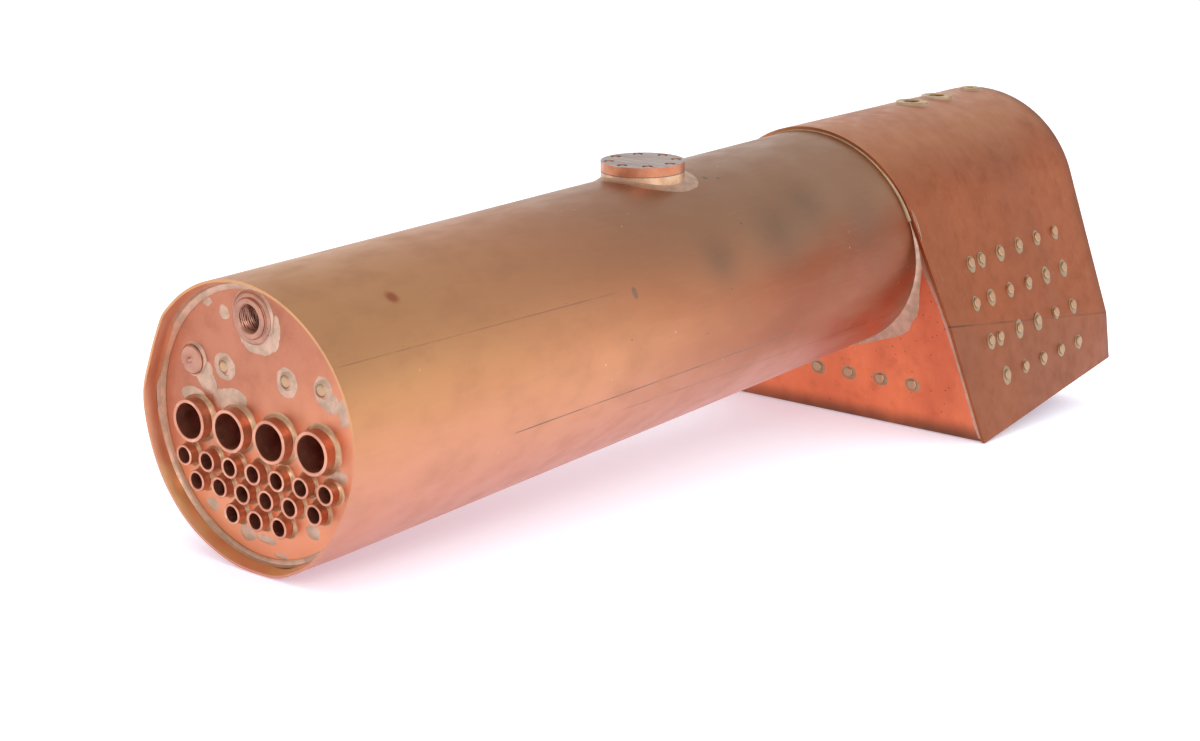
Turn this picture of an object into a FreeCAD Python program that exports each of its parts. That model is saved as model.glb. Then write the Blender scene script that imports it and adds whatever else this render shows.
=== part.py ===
import FreeCAD, Part
import math
import os
from FreeCAD import Vector

# Live-steam locomotive boiler in silver-soldered copper, with a parallel barrel, a steam dome and a
# wide round-topped firebox. Millimetres. +X points forward along the barrel axis, +Y to the boiler's
# left, +Z up. The origin is the centre of the barrel's front rim, so everything else has negative x.

# ---- barrel -------------------------------------------------------------------------------------
BARREL_OD = 127.0                    # five-inch tube
BARREL_WALL = 2.5
BARREL_LENGTH = 462.0
R = BARREL_OD / 2
BARREL_BORE_R = R - BARREL_WALL

# ---- firebox shell ------------------------------------------------------------------------------
WRAPPER_T = 2.0
PLATE_T = 3.0
JOINT_X = -6.95 * R                  # where the sloping front edge of the wrapper crosses the axis
JOINT_LEAN = 0.172                   # forward travel of that edge for each millimetre up
REAR_X = -9.9 * R
LAP_GAP = 0.3                        # the wrapper laps over the barrel with room for solder
FRONT_ARC_R = R + LAP_GAP + WRAPPER_T
REAR_ARC_R = 68.6
REAR_ARC_Z = -5.1
SIDE_ANGLE = math.radians(19.0)      # lean of the firebox sides
FOLD_Z = (-39.4, -68.6)              # crease along the side, at the joint and at the rear
BOTTOM_FRONT = (-459.9, 101.9, -107.9)   # lower front corner: x, half width, z
BOTTOM_REAR = (REAR_X, 97.9, -96.8)
DEEP_Z = -130.0                      # sections run down to here before the bottom is cut off
THROAT_FLANGE = 10.0
BACK_FLANGE = 6.5

# ---- inner firebox ------------------------------------------------------------------------------
WATER_LEG = 9.0
CROWN_Z = 14.0
CROWN_CORNER_R = 14.0
TUBEPLATE_X = -473.0                 # front face of the firebox tubeplate
REAR_LEG = 12.0
FIREBOX_FLANGE = 4.5
RING_H = 10.0

# ---- tubes --------------------------------------------------------------------------------------
FLUE_OD, FLUE_WALL = 19.05, 1.63
FLUE_PITCH, FLUE_Z, FLUE_FRONT_X = 24.4, -3.4, -1.0
TUBE_OD, TUBE_WALL = 9.525, 1.22
TUBE_PITCH, TUBE_FRONT_X = 14.1, -2.2
TUBE_ROWS = (("upper", 7, -20.2), ("middle", 6, -30.4), ("lower", 3, -40.9))
TUBES_END_X = TUBEPLATE_X - PLATE_T - 1.5

# ---- front tubeplate and what is in it ----------------------------------------------------------
FRONT_PLATE_X = -7.6
FRONT_PLATE_FLANGE = 12.0
LONG_STAY_Z = 22.5
LONG_STAYS = (("right", -18.4), ("left", 18.4), ("outer_left", 38.8))
BLOWER_STAY_Y = -37.6
LONG_STAY_R, LONG_HEAD_R, LONG_HEAD_H = 2.38, 3.0, 1.6
STEAM_BUSH_Z = 46.4

# ---- dome ---------------------------------------------------------------------------------------
DOME_X = -274.0
DOME_R = 21.2
DOME_NECK_R = 19.4
DOME_BORE_R = 13.5
DOME_SEAT_Z = 65.85                  # top of the dome ring, where the gasket lies
GASKET_T = 0.4
COVER_T = 4.8
DOME_SCREWS = 8
DOME_SCREW_PCR = 17.0
SCREW_R, SCREW_HEAD_R, SCREW_HEAD_H = 1.4, 2.3, 1.9
SCREW_CLEARANCE = 0.1
COUNTERBORE_R, COUNTERBORE_DEPTH = 2.65, 2.2

# ---- stays --------------------------------------------------------------------------------------
STAY_R, STAY_HEAD_R, STAY_HEAD_H = 2.0, 3.0, 1.4
SIDE_STAY_X0, SIDE_STAY_PITCH_X, SIDE_STAY_COLUMNS = -498.5, -22.7, 5
SIDE_STAY_Z = (-12.1, -33.6, -55.9, -77.8)
EXTRA_STAY_X = (-486.0, -481.0, -488.0)  # the close-set stay at the front of the first three rows
THROAT_STAY_Z, THROAT_STAY_Y0, THROAT_STAY_PITCH, THROAT_STAY_COUNT = -80.6, 3.0, 21.15, 6
BACK_STAYS = ((40, -12), (46, -34), (52, -56), (17, -73))

# ---- bushes in the wrapper's top and in the backhead --------------------------------------------
SMALL_BORE_R = 2.6
TOP_BUSHES = (("safety_valve_bush_front", -542.7, 9.4, 7.5, 4.8),
              ("safety_valve_bush_rear", -573.2, 9.4, 7.5, 4.8),
              ("turret_bush", -615.7, 6.1, 4.8, SMALL_BORE_R))   # name, x, flange r, body r, bore r
TOP_BUSH_PROUD = 1.3
BACK_BUSHES = (("regulator_bush", 0.0, 40.0, 9.5, 7.5, 4.8),
               ("gauge_bush_top", 30.0, 42.0, 5.5, 4.4, SMALL_BORE_R),
               ("gauge_bush_bottom", 30.0, 6.0, 5.5, 4.4, SMALL_BORE_R),
               ("feed_bush_left", 54.0, 2.0, 5.5, 4.4, SMALL_BORE_R),
               ("feed_bush_right", -54.0, 2.0, 5.5, 4.4, SMALL_BORE_R),
               ("blowdown_bush", -64.0, -74.0, 5.5, 4.4, SMALL_BORE_R))
BACK_BUSH_PROUD = 2.0
FIREHOLE_Z, FIREHOLE_R, FIREHOLE_RING_T = -32.0, 22.0, 3.4


def rod(r, start, end):
    """A solid cylinder between two points."""
    start, end = Vector(*start), Vector(*end)
    return Part.makeCylinder(r, (end - start).Length, start, end - start)


def pipe(r_out, r_in, start, end):
    return rod(r_out, start, end).cut(rod(r_in, start, end))


def section_points(x, inset):
    """Arc-to-side tangent, fold and foot of the firebox section at x, moved inwards by inset.

    The section is an arc, a side that leans out by SIDE_ANGLE to the fold, and a steeper skirt.
    Each value runs straight from the joint to the rear. Returns (y, z) pairs and the arc's top z.
    """
    t = (x - JOINT_X) / (REAR_X - JOINT_X)
    arc_r = FRONT_ARC_R + t * (REAR_ARC_R - FRONT_ARC_R) - inset
    arc_z = t * REAR_ARC_Z
    normal = (math.cos(SIDE_ANGLE), math.sin(SIDE_ANGLE))
    tangent = (arc_r * normal[0], arc_z + arc_r * normal[1])
    outer = (tangent[0] + inset * normal[0], tangent[1] + inset * normal[1])
    fold_z = FOLD_Z[0] + t * (FOLD_Z[1] - FOLD_Z[0])
    fold = (outer[0] + math.tan(SIDE_ANGLE) * (outer[1] - fold_z), fold_z)
    s = (x - BOTTOM_FRONT[0]) / (BOTTOM_REAR[0] - BOTTOM_FRONT[0])
    foot = [BOTTOM_FRONT[i] + s * (BOTTOM_REAR[i] - BOTTOM_FRONT[i]) for i in (1, 2)]
    run = (foot[0] - fold[0], foot[1] - fold[1])
    length = math.hypot(*run)
    skirt = (-run[1] / length, run[0] / length)
    # the inset fold is where the two inset lines cross
    a = fold[0] * normal[0] + fold[1] * normal[1] - inset
    b = fold[0] * skirt[0] + fold[1] * skirt[1] - inset
    det = normal[0] * skirt[1] - normal[1] * skirt[0]
    fold = ((a * skirt[1] - b * normal[1]) / det, (b * normal[0] - a * skirt[0]) / det)
    deep = (fold[0] + run[0] * (DEEP_Z - fold[1]) / run[1], DEEP_Z)
    return tangent, fold, deep, arc_z + arc_r


def side_y(x, z, inset=0.0):
    """Half width of the firebox section at height z on the straight side or the skirt."""
    tangent, fold, deep, _ = section_points(x, inset)
    high, low = (tangent, fold) if z > fold[1] else (fold, deep)
    return high[0] + (low[0] - high[0]) * (z - high[1]) / (low[1] - high[1])


def side_lean(x, z):
    """Lean from upright of the firebox side at height z: SIDE_ANGLE above the fold, less below."""
    _, fold, deep, _ = section_points(x, 0.0)
    if z > fold[1]:
        return SIDE_ANGLE
    return math.atan2(deep[0] - fold[0], fold[1] - deep[1])


def closed_wire(x, left_points, arcs):
    """Mirror-symmetric wire at x: straight edges through left_points, then the arcs over the top."""
    left = [Vector(x, y, z) for y, z in left_points]
    right = [Vector(x, -y, z) for y, z in reversed(left_points)]
    edges = [Part.LineSegment(right[-1], left[0]).toShape()]
    edges += [Part.LineSegment(a, b).toShape() for a, b in zip(left, left[1:])]
    for arc in arcs:
        points = [Vector(x, y, z) for y, z in arc]
        make = Part.Arc if len(points) == 3 else Part.LineSegment
        edges.append(make(*points).toShape())
    edges += [Part.LineSegment(a, b).toShape() for a, b in zip(right, right[1:])]
    return Part.Wire(edges)


def shell_wire(x, inset):
    tangent, fold, deep, top = section_points(x, inset)
    arc = (tangent, (0, top), (-tangent[0], tangent[1]))
    return closed_wire(x, (deep, fold, tangent), (arc,))


def firebox_wire(x, inset):
    """Inner firebox section: sides parallel to the wrapper, a flat crown and rounded shoulders."""
    side_inset = WRAPPER_T + WATER_LEG + inset
    _, fold, deep, _ = section_points(x, side_inset)
    crown = CROWN_Z - inset
    r = CROWN_CORNER_R - inset
    corner_y = side_y(x, crown, side_inset)
    reach = r * math.tan((math.pi / 2 - SIDE_ANGLE) / 2)
    low = (corner_y + reach * math.sin(SIDE_ANGLE), crown - reach * math.cos(SIDE_ANGLE))
    high = (corner_y - reach, crown)
    middle_angle = (SIDE_ANGLE + math.pi / 2) / 2
    middle = (high[0] + r * math.cos(middle_angle), crown - r + r * math.sin(middle_angle))
    mirror = [(-y, z) for y, z in (low, middle, high)]
    arcs = ((low, middle, high), (high, mirror[2]), (mirror[2], mirror[1], mirror[0]))
    return closed_wire(x, (deep, fold, low), arcs)


def ruled(make_wire, inset, x_front, x_rear):
    """Solid with straight generators between two sections."""
    return Part.makeLoft([make_wire(x_front, inset), make_wire(x_rear, inset)], True, True)


def bottom_z(x):
    slope = (BOTTOM_REAR[2] - BOTTOM_FRONT[2]) / (BOTTOM_REAR[0] - BOTTOM_FRONT[0])
    return BOTTOM_FRONT[2] + slope * (x - BOTTOM_FRONT[0])


def joint_x(z):
    return JOINT_X + JOINT_LEAN * z


def side_block(front_inset, rear_inset, raised=0.0, top=90.0):
    """Everything between the sloping joint plane, the rear plane and the foundation plane."""
    rear = REAR_X + rear_inset
    low = DEEP_Z
    cut_x = (joint_x(0) - front_inset + JOINT_LEAN * (bottom_z(0) + raised))
    slope = bottom_z(1) - bottom_z(0)
    cut_x = cut_x / (1 - JOINT_LEAN * slope)
    corners = [(joint_x(top) - front_inset, top), (rear, top), (rear, bottom_z(rear) + raised),
               (cut_x, bottom_z(cut_x) + raised)]
    points = [Vector(x, low, z) for x, z in corners]
    face = Part.Face(Part.makePolygon(points + points[:1]))
    return face.extrude(Vector(0, -2 * low, 0))


def slab(x_front, x_rear):
    size = 400.0
    return Part.makeBox(x_front - x_rear, size, size, Vector(x_rear, -size / 2, -size / 2))


def below(z):
    size = 900.0
    return Part.makeBox(size, size, size, Vector(-size, -size / 2, z - size))


def tube_places():
    """Node name, y, z, outer radius, bore radius and front end of every tube and flue."""
    places = []
    for i in range(4):
        y = (i - 1.5) * FLUE_PITCH
        r = FLUE_OD / 2
        places.append(("flue_%d" % (i + 1), y, FLUE_Z, r, r - FLUE_WALL, FLUE_FRONT_X))
    for row, count, z in TUBE_ROWS:
        for k in range(count):
            y = (k - (count - 1) / 2) * TUBE_PITCH
            r = TUBE_OD / 2
            name = "fire_tube_%s_%d" % (row, k + 1)
            places.append((name, y, z, r, r - TUBE_WALL, TUBE_FRONT_X))
    return places


def stay_head(point, outward):
    """Rounded head that stands STAY_HEAD_H out of a plate; its foot starts inside the plate."""
    base = Vector(*point) - outward * WRAPPER_T / 2
    head = Part.makeCylinder(STAY_HEAD_R, STAY_HEAD_H + WRAPPER_T / 2, base, outward)
    rim = [e for e in head.Edges if (e.CenterOfMass - base).dot(outward) > STAY_HEAD_H
           and abs(e.Length - 2 * math.pi * STAY_HEAD_R) < 0.01]
    return head.makeFillet(0.9, rim)


def stay_shanks(ends):
    """Rods between (outer, inner) point pairs, each run on a little way into its two heads."""
    shanks = []
    for outer, inner in ends:
        outer, inner = Vector(*outer), Vector(*inner)
        into_head = (inner - outer).normalize() * (STAY_HEAD_H / 3)
        shanks.append(rod(STAY_R, outer - into_head, inner + into_head))
    return shanks


def build_stays(ends, outside, inside):
    """Stays through two plates: a rod, a head outside and a nipped-over head inside each.

    ends holds (outer point, inner point) pairs on the plates' free faces; outside is the solid that
    the outer heads stand on, inside the firebox space that the inner heads stand in.
    """
    stays = []
    for (outer, inner), shank in zip(ends, stay_shanks(ends)):
        inward = (Vector(*inner) - Vector(*outer)).normalize()
        heads = [stay_head(outer, -inward).cut(outside), stay_head(inner, inward).common(inside)]
        stays.append(shank.fuse(heads).removeSplitter())
    return stays


parts = {}

# ---- solids that the plates are cut from --------------------------------------------------------
FAR_FRONT, FAR_REAR = -400.0, -640.0
shell_outside = ruled(shell_wire, 0.0, FAR_FRONT, FAR_REAR)
shell_inside = ruled(shell_wire, WRAPPER_T, FAR_FRONT, FAR_REAR)
shell_flange = ruled(shell_wire, WRAPPER_T + PLATE_T, FAR_FRONT, FAR_REAR)
BACK_X = REAR_X + 1.0                          # rear face of the backhead
DOOR_X = BACK_X + PLATE_T + REAR_LEG           # rear face of the firebox door plate
firebox_outside = ruled(firebox_wire, 0.0, TUBEPLATE_X, DOOR_X)
firebox_inside = ruled(firebox_wire, WRAPPER_T, TUBEPLATE_X, DOOR_X)
firebox_flange = ruled(firebox_wire, WRAPPER_T + PLATE_T, TUBEPLATE_X, DOOR_X)
barrel_outside = rod(R, (10, 0, 0), (-BARREL_LENGTH, 0, 0))
above_ground = side_block(0, 0)

# ---- barrel and front tubeplate -----------------------------------------------------------------
barrel = pipe(R, BARREL_BORE_R, (0, 0, 0), (-BARREL_LENGTH, 0, 0))
barrel = barrel.cut(rod(DOME_NECK_R, (DOME_X, 0, 0), (DOME_X, 0, R + 10)))

front_plate = rod(BARREL_BORE_R, (FRONT_PLATE_X, 0, 0), (FRONT_PLATE_X - FRONT_PLATE_FLANGE, 0, 0))
front_rim = [e for e in front_plate.Edges if abs(e.BoundBox.XMin - FRONT_PLATE_X) < 0.01
             and abs(e.BoundBox.XMax - FRONT_PLATE_X) < 0.01]
front_plate = front_plate.makeFillet(PLATE_T, front_rim)
front_plate = front_plate.cut(rod(BARREL_BORE_R - PLATE_T, (FRONT_PLATE_X - PLATE_T, 0, 0),
                                  (FRONT_PLATE_X - FRONT_PLATE_FLANGE, 0, 0)))

# ---- wrapper, throatplate and backhead ----------------------------------------------------------
wrapper = shell_outside.cut(shell_inside).common(above_ground)

THROAT_RECESS = 1.5
throat_front = side_block(THROAT_RECESS, 0)
plate = shell_inside.common(throat_front).cut(side_block(THROAT_RECESS + PLATE_T, 0, -20))
flange = shell_inside.common(throat_front)
flange = flange.cut([shell_flange, side_block(THROAT_RECESS + THROAT_FLANGE, 0, -20)])
throatplate = plate.fuse(flange).common(below(0.15 * R)).cut(barrel_outside).removeSplitter()

plate = shell_inside.common(slab(BACK_X + PLATE_T, BACK_X))
flange = shell_inside.common(slab(BACK_X + BACK_FLANGE, BACK_X)).cut(shell_flange)
backhead = plate.fuse(flange).common(above_ground).removeSplitter()

# ---- inner firebox ------------------------------------------------------------------------------
firebox_wrapper = firebox_outside.cut(firebox_inside).common(above_ground)

plate = firebox_inside.common(slab(TUBEPLATE_X, TUBEPLATE_X - PLATE_T))
flange = firebox_inside.common(slab(TUBEPLATE_X, TUBEPLATE_X - FIREBOX_FLANGE)).cut(firebox_flange)
firebox_tubeplate = plate.fuse(flange).common(above_ground).removeSplitter()

plate = firebox_inside.common(slab(DOOR_X + PLATE_T, DOOR_X))
flange = firebox_inside.common(slab(DOOR_X + FIREBOX_FLANGE, DOOR_X)).cut(firebox_flange)
doorplate = plate.fuse(flange).common(above_ground).removeSplitter()

# ---- foundation ring: four bars that close the bottom of the water space -------------------------
ring = shell_inside.common(side_block(THROAT_RECESS + PLATE_T, 1.0 + PLATE_T))
ring = ring.cut([side_block(0, 0, RING_H), throatplate, backhead, firebox_outside])
parts["foundation_bar_front"] = ring.common(slab(-400, TUBEPLATE_X))
parts["foundation_bar_rear"] = ring.common(slab(DOOR_X, FAR_REAR))
side_bars = ring.common(slab(TUBEPLATE_X, DOOR_X))
for name, corner_y in (("foundation_bar_left", 0.0), ("foundation_bar_right", -200.0)):
    parts[name] = side_bars.common(Part.makeBox(300, 200, 300, Vector(-700, corner_y, -200)))

# ---- tubes and flues ----------------------------------------------------------------------------
tube_holes = []
for name, y, z, r_out, r_in, front_x in tube_places():
    parts[name] = pipe(r_out, r_in, (front_x, y, z), (TUBES_END_X, y, z))
    tube_holes.append(rod(r_out, (0, y, z), (TUBES_END_X, y, z)))
front_plate = front_plate.cut(tube_holes)
firebox_tubeplate = firebox_tubeplate.cut(tube_holes)

# ---- longitudinal stays -------------------------------------------------------------------------
long_holes = []
for name, y in LONG_STAYS:
    front, rear = (FRONT_PLATE_X, y, LONG_STAY_Z), (BACK_X, y, LONG_STAY_Z)
    shank = rod(LONG_STAY_R, front, rear)
    long_holes.append(shank)
    heads = [rod(LONG_HEAD_R, front, (front[0] + LONG_HEAD_H, y, LONG_STAY_Z)),
             rod(LONG_HEAD_R, rear, (rear[0] - LONG_HEAD_H, y, LONG_STAY_Z))]
    parts["longitudinal_stay_" + name] = shank.fuse(heads).removeSplitter()
BLOWER_R, BLOWER_BORE_R, BLOWER_DISC_R, BLOWER_BUSH_H = 3.175, 2.0, 6.4, 3.0
front, rear = (FRONT_PLATE_X, BLOWER_STAY_Y, LONG_STAY_Z), (BACK_X, BLOWER_STAY_Y, LONG_STAY_Z)
long_holes.append(rod(BLOWER_R, front, rear))
parts["blower_stay"] = pipe(BLOWER_R, BLOWER_BORE_R, front, rear)
disc = rod(BLOWER_DISC_R, front, (front[0] + 2.2, front[1], front[2]))
parts["blower_stay_blank"] = disc.fuse(rod(1.3, front, (front[0] + 3.2, front[1], front[2]))).removeSplitter()
mouth = (rear[0] - BLOWER_BUSH_H, rear[1], rear[2])
parts["blower_valve_bush"] = pipe(BLOWER_DISC_R, SMALL_BORE_R, rear, mouth)

# ---- steam outlet bush --------------------------------------------------------------------------
STEAM_FLANGE_R, STEAM_BOSS_R, STEAM_BODY_R, STEAM_BORE_R = 11.2, 8.8, 8.0, 5.9


def at_steam_bush(r, x_front, x_rear):
    return rod(r, (x_front, 0, STEAM_BUSH_Z), (x_rear, 0, STEAM_BUSH_Z))


STEAM_FACE_X, STEAM_END_X = FRONT_PLATE_X + 2.7, FRONT_PLATE_X - 8.0
steam_bush = at_steam_bush(STEAM_FLANGE_R, FRONT_PLATE_X + 1.5, FRONT_PLATE_X)
steam_bush = steam_bush.fuse([at_steam_bush(STEAM_BOSS_R, STEAM_FACE_X, FRONT_PLATE_X),
                              at_steam_bush(STEAM_BODY_R, FRONT_PLATE_X, STEAM_END_X)]).removeSplitter()
parts["steam_outlet_bush"] = steam_bush.cut(at_steam_bush(STEAM_BORE_R, STEAM_FACE_X, STEAM_END_X))
parts["front_tubeplate"] = front_plate.cut(long_holes + [at_steam_bush(STEAM_BODY_R, 0, STEAM_END_X)])

# ---- dome ---------------------------------------------------------------------------------------


def at_dome(r, z_low, z_high, x=DOME_X, y=0.0):
    return rod(r, (x, y, z_low), (x, y, z_high))


NECK_LOW_Z, THREAD_LOW_Z = 56.0, 60.0
cover_low = DOME_SEAT_Z + GASKET_T
cover_top = cover_low + COVER_T
head_low = cover_top - COUNTERBORE_DEPTH
saddle = at_dome(DOME_R, NECK_LOW_Z, DOME_SEAT_Z).cut(barrel_outside)
ring_body = saddle.fuse(at_dome(DOME_NECK_R, NECK_LOW_Z, DOME_SEAT_Z)).removeSplitter()
ring_body = ring_body.cut(at_dome(DOME_BORE_R, NECK_LOW_Z, DOME_SEAT_Z))
gasket = at_dome(DOME_R, DOME_SEAT_Z, cover_low).cut(at_dome(DOME_BORE_R, DOME_SEAT_Z, cover_low))
cover = at_dome(DOME_R, cover_low, cover_top)
screws, screw_holes, counterbores = [], [], []
for k in range(DOME_SCREWS):
    angle = 2 * math.pi * k / DOME_SCREWS
    x, y = DOME_X + DOME_SCREW_PCR * math.cos(angle), DOME_SCREW_PCR * math.sin(angle)
    head = at_dome(SCREW_HEAD_R, head_low, head_low + SCREW_HEAD_H, x, y)
    screws.append(head.fuse(at_dome(SCREW_R, THREAD_LOW_Z + 1.0, head_low, x, y)).removeSplitter())
    screw_holes.append(at_dome(SCREW_R + SCREW_CLEARANCE, THREAD_LOW_Z, cover_top, x, y))
    counterbores.append(at_dome(COUNTERBORE_R, head_low, cover_top, x, y))
parts["dome_ring"] = ring_body.cut(screw_holes)
parts["dome_gasket"] = gasket.cut(screw_holes)
parts["dome_cover"] = cover.cut(screw_holes + counterbores)
parts["dome_screws"] = Part.makeCompound(screws)
parts["barrel"] = barrel

# ---- bushes on top of the wrapper ---------------------------------------------------------------
for name, x, flange_r, body_r, bore_r in TOP_BUSHES:
    top = section_points(x, 0.0)[3] + TOP_BUSH_PROUD
    low = top - 8.0
    collar = at_dome(flange_r, low, top, x).cut(shell_outside)
    body = at_dome(body_r, low, top, x)
    parts[name] = collar.fuse(body).removeSplitter().cut(at_dome(bore_r, low, top, x))
    wrapper = wrapper.cut(body)

# ---- bushes, firehole and stays of the backhead -------------------------------------------------
back_cuts = list(long_holes)
for name, y, z, flange_r, body_r, bore_r in BACK_BUSHES:
    end, seat, tip = BACK_X - BACK_BUSH_PROUD, BACK_X, BACK_X + PLATE_T + 2.0
    body = rod(body_r, (seat, y, z), (tip, y, z))
    bush = rod(flange_r, (end, y, z), (seat, y, z)).fuse(body).removeSplitter()
    parts[name] = bush.cut(rod(bore_r, (end, y, z), (tip, y, z)))
    back_cuts.append(body)
ring_ends = ((BACK_X - 1.5, 0, FIREHOLE_Z), (DOOR_X + PLATE_T + 1.5, 0, FIREHOLE_Z))
parts["firehole_ring"] = pipe(FIREHOLE_R + FIREHOLE_RING_T, FIREHOLE_R, *ring_ends)
firehole = rod(FIREHOLE_R + FIREHOLE_RING_T, *ring_ends)

# ---- firebox stays ------------------------------------------------------------------------------


def side_stay_ends(side):
    ends = []
    for row, z in enumerate(SIDE_STAY_Z):
        xs = [SIDE_STAY_X0 + SIDE_STAY_PITCH_X * k for k in range(SIDE_STAY_COLUMNS)]
        xs += EXTRA_STAY_X[row:row + 1]
        for x in xs:
            reach, lean = 2 * WRAPPER_T + WATER_LEG, side_lean(x, z)
            outer = (x, side * side_y(x, z), z)
            inner = (x, outer[1] - side * reach * math.cos(lean), z - reach * math.sin(lean))
            ends.append((outer, inner))
    return ends


for name, side in (("side_stays_left", 1), ("side_stays_right", -1)):
    ends = side_stay_ends(side)
    shanks = stay_shanks(ends)
    parts[name] = Part.makeCompound(build_stays(ends, shell_outside, firebox_inside))
    wrapper = wrapper.cut(shanks)
    firebox_wrapper = firebox_wrapper.cut(shanks)

THROAT_FACE_X = joint_x(THROAT_STAY_Z) - THROAT_RECESS
throat_ends = []
for k in range(THROAT_STAY_COUNT):
    y = THROAT_STAY_Y0 + (k - (THROAT_STAY_COUNT - 1) / 2) * THROAT_STAY_PITCH
    throat_ends.append(((THROAT_FACE_X, y, THROAT_STAY_Z), (TUBEPLATE_X - PLATE_T, y, THROAT_STAY_Z)))
shanks = stay_shanks(throat_ends)
behind_tubeplate = slab(TUBEPLATE_X - PLATE_T, FAR_REAR)
parts["throat_stays"] = Part.makeCompound(build_stays(throat_ends, throat_front, behind_tubeplate))
throatplate = throatplate.cut(shanks)
firebox_tubeplate = firebox_tubeplate.cut(shanks)

back_ends = []
for y, z in BACK_STAYS:
    back_ends += [((BACK_X, s * y, z), (DOOR_X + PLATE_T, s * y, z)) for s in (1, -1)]
shanks = stay_shanks(back_ends)
before_backhead, before_doorplate = slab(0, BACK_X), slab(0, DOOR_X + PLATE_T)
parts["backhead_stays"] = Part.makeCompound(build_stays(back_ends, before_backhead, before_doorplate))
parts["backhead"] = backhead.cut(back_cuts + shanks + [firehole])
parts["firebox_doorplate"] = doorplate.cut(shanks + [firehole])

# ---- crown girders ------------------------------------------------------------------------------
GIRDER_Y = (("left", 28.6), ("middle", 0.0), ("right", -28.6))
GIRDER_T, GIRDER_H, GIRDER_FOOT_W, GIRDER_FOOT_T = 3.0, 16.0, 11.0, 2.0
girder_front, girder_rear = TUBEPLATE_X - 6.0, DOOR_X + 6.0
for name, y in GIRDER_Y:
    length = girder_front - girder_rear
    web = Part.makeBox(length, GIRDER_T, GIRDER_H, Vector(girder_rear, y - GIRDER_T / 2, CROWN_Z))
    corner = Vector(girder_rear, y - GIRDER_FOOT_W / 2, CROWN_Z)
    foot = Part.makeBox(length, GIRDER_FOOT_W, GIRDER_FOOT_T, corner)
    parts["crown_girder_" + name] = web.fuse(foot).removeSplitter()

parts["outer_wrapper"] = wrapper
parts["throatplate"] = throatplate
parts["firebox_wrapper"] = firebox_wrapper
parts["firebox_tubeplate"] = firebox_tubeplate

# ---- export -------------------------------------------------------------------------------------
os.makedirs("parts", exist_ok=True)
for name, shape in sorted(parts.items()):
    solids = shape.Solids
    if not solids or not all(s.isValid() and s.isClosed() for s in solids):
        raise ValueError("%s is not made of closed solids" % name)
    kept = solids[0] if len(solids) == 1 else Part.makeCompound(solids)
    kept.exportStep("parts/%s.step" % name)
    print("%-26s %3d solid(s) %10.1f mm3" % (name, len(solids), sum(s.Volume for s in solids)))
whole = Part.makeCompound(list(parts.values())).BoundBox
print("nodes", len(parts), "box", [round(v, 2) for v in (whole.XMin, whole.XMax, whole.YMin, whole.YMax,
                                                        whole.ZMin, whole.ZMax)])
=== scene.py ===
# %% [markdown]
# # A silver-soldered copper boiler for a model locomotive
#
# The real thing is rolled and flanged copper sheet, copper tube and turned bushes, all joined with silver
# solder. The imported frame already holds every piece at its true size. This notebook gives the frame its
# looks: rounder tubes, dented edges, solder that has run and frozen, and copper that has been handled for
# years. Lengths are in metres, +X points forward along the barrel and +Z up.

import bmesh
import bpy
import numpy as np
from mathutils import Matrix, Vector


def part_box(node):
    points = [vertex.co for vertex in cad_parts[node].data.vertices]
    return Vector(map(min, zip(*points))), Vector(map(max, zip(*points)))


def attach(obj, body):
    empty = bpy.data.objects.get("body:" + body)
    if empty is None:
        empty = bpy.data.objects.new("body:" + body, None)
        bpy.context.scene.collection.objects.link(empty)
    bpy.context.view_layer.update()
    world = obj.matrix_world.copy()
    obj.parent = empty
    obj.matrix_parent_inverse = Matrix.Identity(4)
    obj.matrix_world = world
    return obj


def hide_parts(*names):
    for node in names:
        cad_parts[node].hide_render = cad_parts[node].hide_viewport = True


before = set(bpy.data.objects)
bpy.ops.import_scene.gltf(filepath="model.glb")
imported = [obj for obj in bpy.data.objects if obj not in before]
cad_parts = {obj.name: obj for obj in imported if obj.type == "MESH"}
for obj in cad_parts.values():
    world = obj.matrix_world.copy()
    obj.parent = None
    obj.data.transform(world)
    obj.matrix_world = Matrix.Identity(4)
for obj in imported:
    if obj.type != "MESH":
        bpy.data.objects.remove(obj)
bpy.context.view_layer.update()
MM = 0.001

# %% [markdown]
# ## Measuring the frame
#
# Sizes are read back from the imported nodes, so the looks can't drift away from the pieces they cover. The
# barrel gives the radius, the tubeplate gives the face that everything at the front stands on, and the
# wrapper gives the rear end.

# %% Read the main sizes


def box(node):
    """Lowest and highest corner of a node, as two arrays."""
    low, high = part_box(node)
    return np.array(low), np.array(high)


BARREL_R = box("barrel")[1][1]
BARREL_REAR_X = box("barrel")[0][0]
PLATE_X = box("front_tubeplate")[1][0]
REAR_X = box("outer_wrapper")[0][0]
BACK_X = box("backhead")[0][0]
print("barrel radius %.4f, tubeplate face x %.4f, rear x %.4f" % (BARREL_R, PLATE_X, REAR_X))

# %% [markdown]
# ## Camera
#
# The boiler is seen from in front and to its left, from a little above. A long lens keeps the barrel from
# ballooning. The camera's three axes are found from where it stands, the point it looks at and a very small
# roll, and they fill the columns of its matrix.

# %% Place the camera
CAMERA_PLACE = np.array([0.562722, 0.626102, 0.268714])
CAMERA_TARGET = np.array([-2.46169, 1.00765, 0.0]) * BARREL_R
CAMERA_ROLL = np.radians(-0.3706)
CAMERA_LENS = 63.256                     # on a sensor 36 wide


def unit(v):
    """A vector, or each row of an array, divided by its length."""
    v = np.asarray(v, float)
    return v / np.linalg.norm(v, axis=-1, keepdims=True)


def camera_axes(place, target, roll):
    """Right, up and back: back points from target to place, right is level, then both turn by roll."""
    back = unit(place - target)
    right = unit(np.cross([0.0, 0.0, 1.0], back))
    up = np.cross(back, right)
    c, s = np.cos(roll), np.sin(roll)
    return np.column_stack([c * right + s * up, c * up - s * right, back])


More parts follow.
